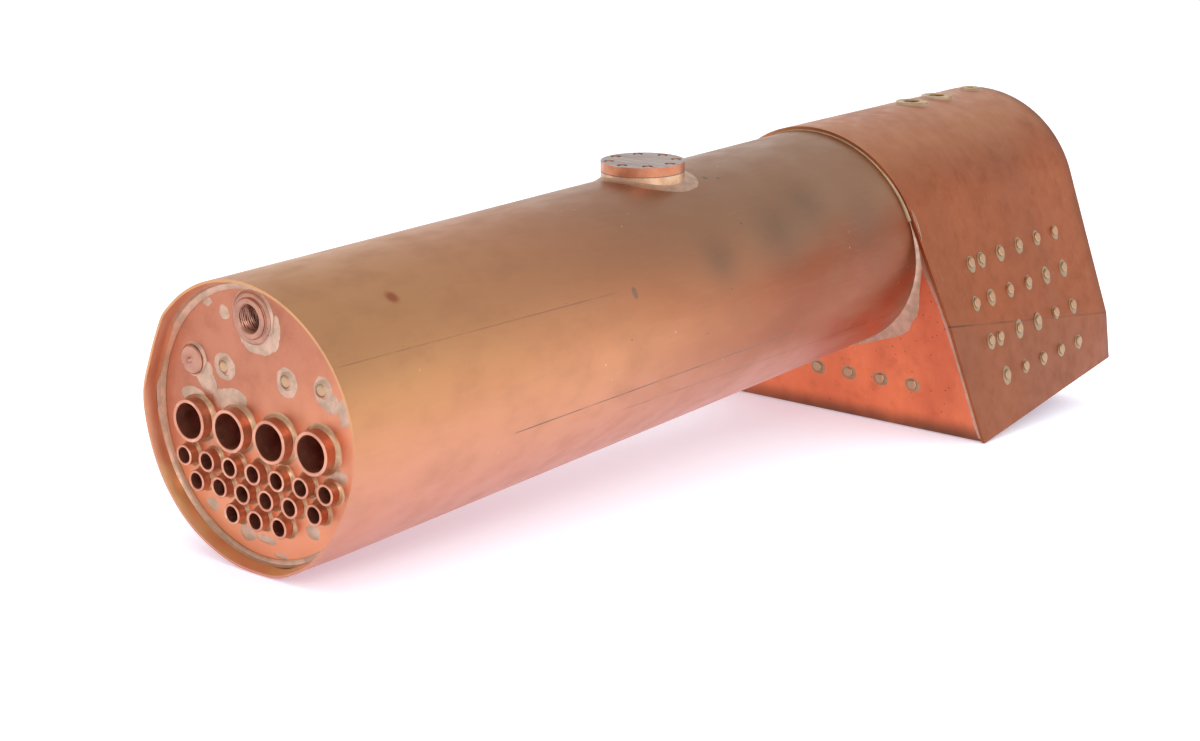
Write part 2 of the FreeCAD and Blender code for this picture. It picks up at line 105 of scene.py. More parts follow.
camera_data = bpy.data.cameras.new("camera")
camera_data.lens = CAMERA_LENS
camera_data.sensor_width = 36.0
camera_data.clip_end = 50.0
camera = bpy.data.objects.new("camera", camera_data)
camera_matrix = np.eye(4)
camera_matrix[:3, :3] = camera_axes(CAMERA_PLACE, CAMERA_TARGET, CAMERA_ROLL)
camera_matrix[:3, 3] = CAMERA_PLACE
camera.matrix_world = Matrix(camera_matrix.tolist())
bpy.context.scene.collection.objects.link(camera)
bpy.context.scene.camera = camera
print("camera axes:\n", np.round(camera_matrix[:3, :3], 4))

# %% [markdown]
# ## Floor and light
#
# Loose on a bench, the boiler tips nose down until the barrel's rim and the front bottom edge of the firebox
# both touch. The frame keeps the barrel level, so here the bench is tilted instead: a plane through those two
# edges. Copper shows what is around it more than its own colour, so the room matters: white floor, a white
# horizon, and a calmer ceiling that leaves the upper flank its brown. One wide sun lights the floor but is
# hidden from reflections, where it would burn a hole.

# %% Floor, room and sun
TOE_X, TOE_Z = -0.4599, box("outer_wrapper")[0][2]     # front bottom edge of the firebox
FLOOR_SLOPE = (-BARREL_R - TOE_Z) / -TOE_X
FLOOR_DROP = 0.0004
WHITE = (1.0, 1.0, 1.0, 1.0)


def floor_z(x):
    """Height of the bench under x: the straight line through the two edges that touch it."""
    return -BARREL_R - FLOOR_DROP + FLOOR_SLOPE * x


def add_mesh_object(name, points, faces):
    """A new object with this mesh, at the origin."""
    mesh = bpy.data.meshes.new(name)
    mesh.from_pydata(np.reshape(points, (-1, 3)).tolist(), [], faces)
    made = bpy.data.objects.new(name, mesh)
    bpy.context.scene.collection.objects.link(made)
    return made


FLOOR_REACH = 8.0
floor_x = np.array([-FLOOR_REACH, FLOOR_REACH, FLOOR_REACH, -FLOOR_REACH])
floor_y = np.array([-FLOOR_REACH, -FLOOR_REACH, FLOOR_REACH, FLOOR_REACH])
floor = add_mesh_object("bench_top", np.column_stack([floor_x, floor_y, floor_z(floor_x)]), [[0, 1, 2, 3]])
floor_paint = bpy.data.materials.new("bench_white")
floor_paint.use_nodes = True
floor_shader = floor_paint.node_tree.nodes["Principled BSDF"]
floor_shader.inputs["Base Color"].default_value = (0.78, 0.88, 0.93, 1.0)
floor_shader.inputs["Roughness"].default_value = 0.9
floor_shader.inputs["Emission Color"].default_value = (1.0, 0.82, 0.97, 1.0)
floor_shader.inputs["Emission Strength"].default_value = 0.38
floor.data.materials.append(floor_paint)

room = bpy.data.worlds.new("room")
bpy.context.scene.world = room
room.use_nodes = True
room_tree = room.node_tree
room_tree.nodes.clear()


def node(tree, kind, settings=None, **inputs):
    """Add a shader node. An input is a number, a colour or another node's socket; in_0 is input number 0."""
    made = tree.nodes.new(kind)
    for name, value in (settings or {}).items():
        setattr(made, name, value)
    for name, value in inputs.items():
        key = int(name[3:]) if name.startswith("in_") else name.replace("_", " ")
        if isinstance(value, bpy.types.NodeSocket):
            tree.links.new(value, made.inputs[key])
        else:
            made.inputs[key].default_value = value
    return made


def sum_of(tree, operation, a, b=0.0, c=0.0, clamp=False):
    """One arithmetic step: the output of a Math node."""
    settings = {"operation": operation, "use_clamp": clamp}
    return node(tree, "ShaderNodeMath", settings, in_0=a, in_1=b, in_2=c).outputs[0]


def ramp(tree, value, low, high, out_low=0.0, out_high=1.0, kind="SMOOTHSTEP"):
    """Step of value from low to high, given as out_low to out_high. kind LINEAR makes it a straight line."""
    made = node(tree, "ShaderNodeMapRange", {"interpolation_type": kind}, Value=value)
    for name, number in (("From Min", low), ("From Max", high), ("To Min", out_low), ("To Max", out_high)):
        made.inputs[name].default_value = number
    return made.outputs[0]


HORIZON_LIGHT, CEILING_LIGHT = 1.10, 0.74
sky_place = node(room_tree, "ShaderNodeTexCoord").outputs["Generated"]
sky_height = node(room_tree, "ShaderNodeSeparateXYZ", Vector=sky_place)
sky_light = ramp(room_tree, sky_height.outputs["Z"], 0.12, 0.62, HORIZON_LIGHT, CEILING_LIGHT)
light_path = node(room_tree, "ShaderNodeLightPath")
seen = node(room_tree, "ShaderNodeBackground", Color=WHITE, Strength=1.05)
lit = node(room_tree, "ShaderNodeBackground", Color=WHITE, Strength=sky_light)
either = node(room_tree, "ShaderNodeMixShader", in_0=light_path.outputs["Is Camera Ray"],
              in_1=lit.outputs[0], in_2=seen.outputs[0])
node(room_tree, "ShaderNodeOutputWorld", Surface=either.outputs[0])


def add_light(name, kind, place, aim, power, size, reflected):
    """A sun or a square softbox that points from place to aim."""
    data = bpy.data.lights.new(name, kind)
    data.energy = power
    if kind == "SUN":
        data.angle = size
    else:
        data.shape = "SQUARE"
        data.size = size
    lamp = bpy.data.objects.new(name, data)
    lamp.visible_glossy = reflected
    matrix = np.eye(4)
    matrix[:3, :3] = camera_axes(np.array(place), np.array(aim), 0.0)
    matrix[:3, 3] = place
    lamp.matrix_world = Matrix(matrix.tolist())
    bpy.context.scene.collection.objects.link(lamp)
    return lamp


MIDDLE = np.array([-0.3, 0.0, 0.0])
add_light("wide_sun", "SUN", (-0.9, 0.4, 2.2), MIDDLE, 1.5, 1.4, False)
add_light("softbox_left", "AREA", (1.3, 1.6, 1.5), MIDDLE, 14.0, 0.9, True)
bpy.context.scene.view_settings.view_transform = "Standard"
print("floor slope %.4f" % FLOOR_SLOPE)

# %% [markdown]
# ## Meshes from grids
#
# Nearly every piece of a boiler is either turned in a lathe, rolled from sheet, or a bead of solder run along
# a joint. All three are one thing in arithmetic: a closed loop of points carried along rows. So one helper
# takes a grid of rows and columns, joins its neighbours with four-sided faces, closes what has to be closed,
# welds the seam and turns every face outwards.

# %% The grid helpers
SHELL_BODY, LID_BODY = "boiler_shell", "dome_lid"
SHARP = np.radians(38)
WELD = 2e-7
FORWARD, REARWARD, UPWARD = (1, 0, 0), (-1, 0, 0), (0, 0, 1)


def grid_faces(rows, columns, wrap_rows=False, wrap_columns=True):
    """Four point numbers per face, one face between each pair of rows and pair of columns."""
    index = np.arange(rows * columns).reshape(rows, columns)
    if wrap_rows:
        index = np.vstack([index, index[:1]])
    if wrap_columns:
        index = np.hstack([index, index[:, :1]])
    corners = [index[:-1, :-1], index[1:, :-1], index[1:, 1:], index[:-1, 1:]]
    return np.stack(corners, axis=-1).reshape(-1, 4)


def closed_loops(loops):
    """Surface of loops[row, point, xyz] whose two end rows are drawn in to their own middle points."""
    first, last = loops[:1].mean(axis=1, keepdims=True), loops[-1:].mean(axis=1, keepdims=True)
    caps = np.ones((1, loops.shape[1], 1))
    grid = np.concatenate([first * caps, loops, last * caps])
    return grid, grid_faces(grid.shape[0], grid.shape[1])


def ring_of_loops(loops):
    """Surface of loops[row, point, xyz] whose last row joins its first."""
    return loops, grid_faces(loops.shape[0], loops.shape[1], wrap_rows=True)


def together(surfaces):
    """Several (points, faces) surfaces as one, each one's faces renumbered past the points before it."""
    points = [np.reshape(grid, (-1, 3)) for grid, _ in surfaces]
    before = np.cumsum([0] + [len(p) for p in points[:-1]])
    faces = [f + start for (_, f), start in zip(surfaces, before)]
    return np.concatenate(points), np.concatenate(faces)


def welded(name, surface):
    """A new object from (points, faces): doubled points are welded and every face is turned outwards."""
    points, faces = surface
    made = add_mesh_object(name, points, faces.tolist())
    shell = bmesh.new()
    shell.from_mesh(made.data)
    bmesh.ops.remove_doubles(shell, verts=shell.verts, dist=WELD)
    bmesh.ops.recalc_face_normals(shell, faces=shell.faces)
    shell.to_mesh(made.data)
    shell.free()
    return made


def add_piece(name, surface, finish, stands_for=(), body=SHELL_BODY):
    """Put a closed surface into the scene, smooth it, paint it and hang it on its body."""
    made = welded(name, surface)
    made.data.shade_smooth()
    made.data.set_sharp_from_angle(angle=SHARP)
    made.data.materials.append(finish)
    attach(made, body)
    if stands_for:
        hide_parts(*stands_for)
    return made


def turned(profile, centre, axis, count=72, radius=None):
    """Lathe work: (along, radius) pairs carried round an axis. radius(turn, along, r) may change each r."""
    axis = unit(axis)
    across = unit(np.cross(axis, [0.3, 1.0, 0.2] if abs(axis[1]) < 0.9 else [1.0, 0.0, 0.3]))
    other = np.cross(axis, across)
    turn = np.linspace(0, 2 * np.pi, count, endpoint=False)[:, None]
    along, r = np.asarray(profile, float).T
    r = np.broadcast_to(r, (count, len(r)))
    if radius is not None:
        r = radius(turn, along[None, :], r)
    spoke = np.cos(turn)[..., None] * across + np.sin(turn)[..., None] * other
    return ring_of_loops(np.asarray(centre) + along[None, :, None] * axis + r[..., None] * spoke)


def wobble(turn, seed, waves=(2, 3, 5, 8), strength=1.0):
    """Uneven ring: sines of a few whole numbers of waves round the turn, weaker as they get finer."""
    phases = np.random.default_rng(seed).uniform(0, 2 * np.pi, len(waves))
    return strength * sum(np.sin(k * turn + p) / k**0.7 for k, p in zip(waves, phases)) / len(waves)


print("helpers ready")

# %% [markdown]
# ## Finishes
#
# Old copper is never one colour. Each finish starts from the metal's own tint and then lays stains over it:
# a mask says where, a colour says what. Masks are made from noise at the size of the real marks, or from
# distances worked out on the piece in metres, so they stay put from every side. Roughness and a little bump
# come from the same noise, because a stain is duller and stands slightly proud.

# %% Mask and colour helpers


def object_place(tree):
    """Object coordinates and their three parts, in metres."""
    place = node(tree, "ShaderNodeTexCoord").outputs["Object"]
    parts = node(tree, "ShaderNodeSeparateXYZ", Vector=place)
    return place, parts.outputs["X"], parts.outputs["Y"], parts.outputs["Z"]


def noise(tree, place, size, stretch=(1.0, 1.0, 1.0), detail=4.0, rough=0.55):
    """Cloudy noise from 0 to 1 whose blotches are about size metres across, pulled longer by stretch."""
    scaled = node(tree, "ShaderNodeMapping", Vector=place)
    scaled.inputs["Scale"].default_value = [1.0 / s for s in stretch]
    made = node(tree, "ShaderNodeTexNoise", Vector=scaled.outputs[0], Scale=0.5 / size, Detail=detail)
    made.inputs["Roughness"].default_value = rough
    return made.outputs[0]


def specks(tree, place, size, share, stretch=(1.0, 1.0, 1.0)):
    """Small round marks at random places: where the nearest cell centre is closer than share of a cell."""
    scaled = node(tree, "ShaderNodeMapping", Vector=place)
    scaled.inputs["Scale"].default_value = [1.0 / s for s in stretch]
    cells = node(tree, "ShaderNodeTexVoronoi", Vector=scaled.outputs[0], Scale=1.0 / size)
    return ramp(tree, cells.outputs["Distance"], share, share * 0.5)


def times(tree, *masks):
    """Masks multiplied together."""
    product = masks[0]
    for mask in masks[1:]:
        product = sum_of(tree, "MULTIPLY", product, mask)
    return product


def near(tree, place, centre, radius, edge):
    """1 within radius of a point, fading out over edge."""
    made = node(tree, "ShaderNodeVectorMath", {"operation": "DISTANCE"}, in_0=place)
    made.inputs[1].default_value = centre
    return ramp(tree, made.outputs["Value"], radius + edge, radius)


def over(tree, mask, under, colour):
    """colour laid over under where the mask is 1."""
    under, colour = ((*c, 1.0) if isinstance(c, tuple) else c for c in (under, colour))
    return node(tree, "ShaderNodeMix", {"data_type": "RGBA"}, in_0=mask, in_6=under, in_7=colour).outputs[2]


def metal(name, metallic=1.0):
    """An empty metal material: its tree and its shader."""
    made = bpy.data.materials.new(name)
    made.use_nodes = True
    shader = made.node_tree.nodes["Principled BSDF"]
    shader.inputs["Metallic"].default_value = metallic
    return made, made.node_tree, shader


def finish_surface(tree, shader, colour, rough_mask, rough_low, rough_high, bump_mask, bump_height):
    """Wire the colour, the roughness between two values and the bump, whose height is in metres."""
    tree.links.new(colour, shader.inputs["Base Color"])
    tree.links.new(ramp(tree, rough_mask, 0.25, 0.75, rough_low, rough_high), shader.inputs["Roughness"])
    bump = node(tree, "ShaderNodeBump", Height=bump_mask, Strength=1.0, Distance=bump_height)
    tree.links.new(bump.outputs[0], shader.inputs["Normal"])


# %% [markdown]
# ### Barrel copper
#
# The barrel was drawn tube, pickled, wire-wooled and then left. It has gone golden tan near the front and olive
# brown along the top towards the rear; low down it is painted a paler pink, a painted reflection of the white
# bench. Three straight scribed lines run along it from marking out, there is an oval dent mark and a few sooty
# clouds. The lines follow the angle round the tube, which is the arctangent of height over side.

# %% Barrel finish
TAN, GOLD, OLIVE = (0.59, 0.26, 0.13), (0.67, 0.33, 0.15), (0.37, 0.205, 0.12)
# The pink tint on the next line is a painted reflection of the white bench, used low on the barrel.
BENCH_REFLECTION_PINK, RUST, SOOT = (0.62, 0.275, 0.195), (0.38, 0.12, 0.06), (0.16, 0.105, 0.075)
REAR_BROWN = (0.29, 0.085, 0.038)
PALE, SCRIBE = (0.86, 0.60, 0.43), (0.24, 0.14, 0.10)
SCRIBED_LINES = ((34.0, 28.5, -0.004, -0.18, 0.5), (-14.0, -17.5, -0.10, -0.32, 1.0),
                 (-24.0, -33.0, -0.18, -0.43, 0.75))   # angle at the front and rear, start x, end x, depth
SOOT_CLOUDS = ((-0.318, 33.0, 0.022), (-0.262, 29.0, 0.014), (-0.352, 40.0, 0.020), (-0.395, 20.0, 0.026))


def on_barrel(x, degrees, r=BARREL_R):
    """Point on the barrel at x and at an angle up from its left side."""
    a = np.radians(degrees)
    return np.array([x, r * np.cos(a), r * np.sin(a)])


def scribed_line(tree, x, angle, place, line):
    """Mask of one thin line whose angle drifts evenly from its front end to its rear end."""
    front_angle, rear_angle, start, end, depth = line
    wanted = ramp(tree, x, start, end, np.radians(front_angle), np.radians(rear_angle), "LINEAR")
    away = sum_of(tree, "ABSOLUTE", sum_of(tree, "SUBTRACT", angle, wanted))
    thin = ramp(tree, away, 0.0065, 0.0028)
    inside = times(tree, ramp(tree, x, end - 0.004, end + 0.004), ramp(tree, x, start + 0.004, start - 0.004))
    broken = ramp(tree, noise(tree, place, 0.010, detail=3.0), 0.36, 0.60, depth * 0.35, depth)
    return times(tree, thin, inside, broken)


def barrel_finish():
    """Tan, gold, olive and a pink painted reflection low down laid over each other by height and length, then
    marks and scratches.
    """
    made, tree, shader = metal("barrel_old_copper")
    place, x, y, z = object_place(tree)
    angle = sum_of(tree, "ARCTAN2", z, y)
    clouds = noise(tree, place, 0.045, (2.0, 1.0, 1.0))
    fine = noise(tree, place, 0.007, (1.6, 1.0, 1.0), detail=6.0)
    grain = noise(tree, place, 0.0010, (8.0, 1.0, 1.0), detail=2.0)
    drift = sum_of(tree, "MULTIPLY_ADD", clouds, 0.05, -0.025)
    height = sum_of(tree, "ADD", z, drift)
    rear = ramp(tree, sum_of(tree, "ADD", x, sum_of(tree, "MULTIPLY", drift, 3.0)), -0.12, -0.34)
    # Low down the barrel is painted pink as a painted reflection of the white bench, with tan above.
    colour = over(tree, ramp(tree, height, -0.052, 0.012), BENCH_REFLECTION_PINK, TAN)
    colour = over(tree, times(tree, ramp(tree, height, 0.0, 0.03), ramp(tree, x, -0.17, -0.02)), colour, GOLD)
    colour = over(tree, times(tree, rear, ramp(tree, height, -0.060, 0.0)), colour, REAR_BROWN)
    top = ramp(tree, height, 0.014, 0.046)
    colour = over(tree, times(tree, top, sum_of(tree, "MULTIPLY_ADD", rear, 0.62, 0.30)), colour, OLIVE)
    colour = over(tree, ramp(tree, fine, 0.42, 0.78, 0.0, 0.26), colour, (0.38, 0.19, 0.11))
    colour = over(tree, ramp(tree, grain, 0.50, 0.80, 0.0, 0.025), colour, PALE)
    for cloud_x, degrees, radius in SOOT_CLOUDS:
        spot = near(tree, place, on_barrel(cloud_x, degrees), 0.0, radius * 1.5)
        colour = over(tree, times(tree, spot, ramp(tree, clouds, 0.34, 0.66, 0.05, 0.50)), colour, SOOT)
    colour = over(tree, near(tree, place, on_barrel(-0.0514, 54.5), 0.0012, 0.0035), colour, RUST)
    dent = node(tree, "ShaderNodeMapping", Vector=place)
    dent.inputs["Location"].default_value = (-on_barrel(-0.1917, 25.9)).tolist()
    oval = node(tree, "ShaderNodeMapping", Vector=dent.outputs[0])
    oval.inputs["Scale"].default_value = (1.0, 0.62, 0.62)
    oval_mask = near(tree, oval.outputs[0], (0.0, 0.0, 0.0), 0.0013, 0.0009)
    worn_oval = times(tree, oval_mask, ramp(tree, fine, 0.30, 0.60, 0.5, 0.9))
    colour = over(tree, worn_oval, colour, (0.20, 0.15, 0.12))
    pits = specks(tree, place, 0.011, 0.045)
    colour = over(tree, times(tree, pits, ramp(tree, clouds, 0.45, 0.60)), colour, (0.16, 0.09, 0.06))
    nicks = specks(tree, place, 0.021, 0.035, (0.4, 1.0, 1.0))
    colour = over(tree, sum_of(tree, "MULTIPLY", nicks, 0.8), colour, PALE)
    for mark_x, degrees, size in ((-0.2996, 71.4, 0.0014), (-0.3074, 68.9, 0.0009), (-0.292, 41.0, 0.0006)):
        mark = near(tree, place, on_barrel(mark_x, degrees), size * 0.6, size * 0.8)
        colour = over(tree, sum_of(tree, "MULTIPLY", mark, 0.75), colour, (0.10, 0.115, 0.085))
    lines = None
    for line in SCRIBED_LINES:
        mask = scribed_line(tree, x, angle, place, line)
        lines = mask if lines is None else sum_of(tree, "MAXIMUM", lines, mask)
    colour = over(tree, lines, colour, SCRIBE)
    facing = node(tree, "ShaderNodeTexCoord").outputs["Normal"]
    outwards = node(tree, "ShaderNodeVectorMath", {"operation": "DOT_PRODUCT"}, in_0=place, in_1=facing)
    turned_in = ramp(tree, outwards.outputs["Value"], -0.020, -0.045)
    flux = times(tree, turned_in, ramp(tree, noise(tree, place, 0.014), 0.34, 0.62, 0.25, 0.95),
                 ramp(tree, z, 0.02, -0.05))
    colour = over(tree, sum_of(tree, "MULTIPLY", turned_in, 0.8), colour, (0.88, 0.44, 0.29))
    colour = over(tree, flux, colour, (0.80, 0.54, 0.25))
    relief = sum_of(tree, "SUBTRACT", fine, sum_of(tree, "MULTIPLY", lines, 0.6))
    finish_surface(tree, shader, colour, fine, 0.33, 0.47, relief, 0.00012)
    return made


BARREL_FINISH = barrel_finish()
print("barrel finish has %d nodes" % len(BARREL_FINISH.node_tree.nodes))

# %% [markdown]
# ### Wrapper, throat and plate copper
#
# The wrapper is annealed sheet, redder than the barrel, with upright rub marks and a dark crease line along
# each side; the steeper skirt below the crease is painted darker as painted shade, and the top is painted
# lighter as painted light. The throatplate and the front tubeplate got the most heat: bright orange with dark
# pits where the flux boiled. One recipe covers all of them; the tints, the stain and the amount of pitting
# change.

# %% Sheet copper recipe


def copper_sheet(name, tint, second, stain, pitting, rough=(0.36, 0.50), stretch=(1.0, 1.0, 3.0)):
    """Tint with clouds of a second tint, stains, pits and fine rub marks. Returns the parts for more work."""
    made, tree, shader = metal(name)
    place, x, y, z = object_place(tree)
    clouds = noise(tree, place, 0.045, stretch)
    fine = noise(tree, place, 0.005, detail=6.0)
    rubs = noise(tree, place, 0.0009, tuple(s * 4.0 if s > 1.0 else 1.0 for s in stretch), detail=2.0)
    colour = over(tree, ramp(tree, clouds, 0.32, 0.68), tint, second)
    colour = over(tree, ramp(tree, fine, 0.46, 0.82, 0.0, 0.30), colour, stain)
    colour = over(tree, ramp(tree, rubs, 0.52, 0.82, 0.0, 0.05), colour, PALE)
    pits = times(tree, specks(tree, place, 0.0042, 0.12), ramp(tree, clouds, 0.60 - pitting, 0.72 - pitting))
    colour = over(tree, pits, colour, (0.10, 0.045, 0.03))
    relief = sum_of(tree, "SUBTRACT", fine, pits)
    return made, tree, shader, colour, (place, x, y, z, fine, clouds), relief, rough


def plain_sheet(*recipe, **more):
    """The recipe with nothing added."""
    made, tree, shader, colour, parts, relief, rough = copper_sheet(*recipe, **more)
    finish_surface(tree, shader, colour, parts[4], rough[0], rough[1], relief, 0.00014)
    return made


WRAPPER_TINT, WRAPPER_SECOND, DARK_STAIN = (0.39, 0.108, 0.038), (0.33, 0.098, 0.040), (0.20, 0.065, 0.032)
JOINT_X, CREASE_Z = -6.95 * BARREL_R, (-0.0394, -0.0686)    # the lap's x at axis height; crease there and rear
CREASE_SLOPE = (CREASE_Z[1] - CREASE_Z[0]) / (REAR_X - JOINT_X)
CREASE_Z0 = CREASE_Z[0] - CREASE_SLOPE * JOINT_X


def wrapper_finish():
    """Sheet copper with a dark crease line, painted shade on the skirt below it, painted light on the top and a
    dark rear edge.
    """
    made, tree, shader, colour, parts, relief, rough = copper_sheet(
        "wrapper_old_copper", WRAPPER_TINT, WRAPPER_SECOND, DARK_STAIN, -0.05)
    place, x, y, z, fine, clouds = parts
    above = sum_of(tree, "SUBTRACT", z, sum_of(tree, "MULTIPLY_ADD", x, CREASE_SLOPE, CREASE_Z0))
    line = ramp(tree, sum_of(tree, "ABSOLUTE", above), 0.0008, 0.0002)
    broken = ramp(tree, noise(tree, place, 0.018, (3.0, 1.0, 1.0)), 0.44, 0.64, 0.12, 0.80)
    # Painted shade: the steeper skirt below the crease is darkened towards dark brown.
    colour = over(tree, ramp(tree, above, 0.004, -0.004, 0.0, 0.35), colour, (0.25, 0.095, 0.05))
    colour = over(tree, times(tree, line, broken), colour, (0.11, 0.05, 0.03))
    # Painted light: the wrapper's top is lightened in cloudy patches, standing in for the bright ceiling.
    top = times(tree, ramp(tree, z, 0.030, 0.062), ramp(tree, clouds, 0.30, 0.60, 0.35, 0.85))
    colour = over(tree, top, colour, (0.58, 0.25, 0.12))
    colour = over(tree, ramp(tree, x, REAR_X + 0.012, REAR_X, 0.0, 0.55), colour, DARK_STAIN)
    finish_surface(tree, shader, colour, fine, rough[0], rough[1], relief, 0.00014)
    return made


def throat_finish():
    """Bright heat-cleaned copper, pitted low down, with a dark foot."""
    made, tree, shader, colour, parts, relief, rough = copper_sheet(
        "throat_bright_copper", (0.96, 0.31, 0.14), (0.62, 0.16, 0.08), (0.36, 0.09, 0.05), 0.16)
    place, x, y, z, fine, clouds = parts
    foot = times(tree, ramp(tree, z, -0.096, -0.1075), ramp(tree, clouds, 0.3, 0.6, 0.5, 1.0))
    colour = over(tree, foot, colour, (0.20, 0.085, 0.05))
    finish_surface(tree, shader, colour, fine, rough[0], rough[1], relief, 0.00016)
    return made


def plate_finish():
    """Front tubeplate: duller and redder high up, bright orange low down on the left."""
    made, tree, shader, colour, parts, relief, rough = copper_sheet(
        "plate_bright_copper", (0.50, 0.195, 0.115), (0.42, 0.150, 0.088), (0.30, 0.10, 0.06), 0.0,
        stretch=(1.0, 1.0, 1.0))
    place, x, y, z, fine, clouds = parts
    low_left = sum_of(tree, "SUBTRACT", sum_of(tree, "MULTIPLY", y, 0.5), z)
    bright = times(tree, ramp(tree, low_left, -0.030, 0.030), ramp(tree, clouds, 0.25, 0.60, 0.45, 1.0))
    colour = over(tree, bright, colour, (0.76, 0.305, 0.17))
    finish_surface(tree, shader, colour, fine, rough[0], rough[1], relief, 0.00014)
    return made


WRAPPER_FINISH = wrapper_finish()
THROAT_FINISH = throat_finish()
PLATE_FINISH = plate_finish()
BACKHEAD_FINISH = plain_sheet("backhead_copper", (0.62, 0.28, 0.16), (0.52, 0.25, 0.15), DARK_STAIN, 0.04,
                              stretch=(1.0, 1.0, 1.0))
FIREBOX_FINISH = plain_sheet("firebox_sooty_copper", (0.30, 0.13, 0.08), (0.14, 0.075, 0.05),
                             (0.07, 0.045, 0.035), 0.10, rough=(0.5, 0.7), stretch=(1.0, 1.0, 1.0))
BAR_FINISH = plain_sheet("foundation_copper", (0.42, 0.20, 0.12), (0.30, 0.16, 0.10),
                         (0.15, 0.08, 0.05), 0.08)
print("sheet finishes ready")

# %% [markdown]
# ### Tubes, bushes, solder and small metals
#
# Tube ends are pinkish brown and turn a lighter, redder pink a few millimetres in, behind the plate face.
# Silver solder is a dull greenish grey with a coppery edge: it dissolves a little copper as it runs. Bushes are
# gunmetal, stays are bronze, the dome's cover is turned copper alloy with a brushed top and the screws are
# bright steel.

# %% Small finishes


def small_metal(name, tint, second, dark, size=0.004, rough=(0.32, 0.48), bump=0.00008, metallic=1.0):
    """Two tints in blotches of about size metres, with dark specks."""
    made, tree, shader = metal(name, metallic)
    place = object_place(tree)[0]
    blotch = noise(tree, place, size, detail=5.0)
    colour = over(tree, ramp(tree, blotch, 0.36, 0.64), tint, second)
    colour = over(tree, specks(tree, place, size * 0.45, 0.16), colour, dark)
    finish_surface(tree, shader, colour, blotch, rough[0], rough[1], blotch, bump)
    return made


def tube_finish():
    """Pinkish brown copper that turns a lighter, redder pink over the first four millimetres behind the plate
    face.
    """
    made, tree, shader = metal("tube_end_copper")
    place, x, y, z = object_place(tree)
    blotch = noise(tree, place, 0.004, detail=5.0)
    colour = over(tree, ramp(tree, blotch, 0.35, 0.65), (0.70, 0.33, 0.22), (0.58, 0.25, 0.165))
    colour = over(tree, ramp(tree, noise(tree, place, 0.0016), 0.55, 0.75, 0.0, 0.5), colour, PALE)
    deep = ramp(tree, x, PLATE_X, PLATE_X - 0.004)
    colour = over(tree, deep, colour, (0.80, 0.33, 0.24))
    finish_surface(tree, shader, colour, blotch, 0.34, 0.5, blotch, 0.00010)
    return made


def cover_finish():
    """Turned copper on the edge; on top a greyer face with marks that run one way."""
    made, tree, shader = metal("dome_cover_copper")
    place, x, y, z = object_place(tree)
    face = ramp(tree, z, COVER_TOP - 0.00035, COVER_TOP - 0.0001)
    brushed = noise(tree, place, 0.0008, (1.0, 14.0, 1.0), detail=3.0)
    blotch = noise(tree, place, 0.006)
    grey = over(tree, ramp(tree, brushed, 0.35, 0.65), (0.40, 0.295, 0.25), (0.32, 0.23, 0.195))
    side = over(tree, ramp(tree, blotch, 0.35, 0.65), (0.58, 0.23, 0.125), (0.44, 0.165, 0.09))
    finish_surface(tree, shader, over(tree, face, side, grey), brushed, 0.30, 0.44, brushed, 0.00004)
    return made


COVER_TOP = box("dome_cover")[1][2]
TUBE_FINISH = tube_finish()
COVER_FINISH = cover_finish()
SOLDER_FINISH = small_metal("silver_solder", (0.60, 0.385, 0.285), (0.49, 0.335, 0.24), (0.30, 0.17, 0.11),
                            0.0026, (0.42, 0.58), 0.00012)
WARM_SOLDER_FINISH = small_metal("coppery_solder", (0.56, 0.35, 0.21), (0.46, 0.26, 0.155),
                                 (0.24, 0.13, 0.08), 0.0022, (0.38, 0.52), 0.00012)
HALO_FINISH = small_metal("stay_solder", (0.34, 0.25, 0.155), (0.42, 0.30, 0.19), (0.18, 0.12, 0.07),
                          0.0022, (0.40, 0.55), 0.00012)
STEAM_BUSH_FINISH = small_metal("steam_bush_gunmetal", (0.50, 0.245, 0.17), (0.40, 0.20, 0.145),
                                (0.20, 0.10, 0.07), 0.005)
BRASS_FINISH = small_metal("bush_brass", (0.62, 0.42, 0.22), (0.48, 0.31, 0.16), (0.22, 0.13, 0.08), 0.003)
RING_FINISH = small_metal("dome_ring_brass", (0.68, 0.43, 0.26), (0.56, 0.32, 0.19), (0.16, 0.09, 0.05),
                          0.0030, (0.34, 0.5), 0.00018)
STAY_FINISH = small_metal("stay_bronze", (0.52, 0.29, 0.165), (0.47, 0.32, 0.20), (0.25, 0.13, 0.08), 0.003)
SCREW_FINISH = small_metal("screw_steel", (0.80, 0.76, 0.68), (0.60, 0.56, 0.49), (0.20, 0.17, 0.14), 0.0012,
                           (0.25, 0.40), 0.00005)
GASKET_FINISH = small_metal("gasket_fibre", (0.10, 0.085, 0.08), (0.16, 0.13, 0.12), (0.04, 0.035, 0.03),
                            0.002, (0.7, 0.85), 0.00008, metallic=0.0)
print("small finishes ready")

# %% [markdown]
# ## The barrel
#
# A tube is a loop (out along the outside, back along the bore) carried round the axis. This one has had a hard
# life at the front: the unsupported lip ahead of the tubeplate is knocked flat in two places and pushed out in
# a third. A dent is a change of radius: a bell shape round the rim times a fade along the barrel. The lip is
# filed thin, so the bore opens out over the last few millimetres.

# %% Dents and the barrel surface
RIM_DENTS = ((325.0, 30.0, -2.3), (284.0, 9.0, 0.9), (300.0, 7.0, 0.5), (157.0, 15.0, -1.7),
             (139.0, 5.0, 0.5), (176.0, 9.0, 0.7), (60.0, 26.0, -0.4),
             (225.0, 20.0, 0.4))         # degrees round, half width, mm outward
DENT_REACH = 0.016
LIP_T, LIP_TAPER = 0.0012, 0.006
BARREL_WALL = 0.0025
BARREL_INNER_R = BARREL_R - BARREL_WALL


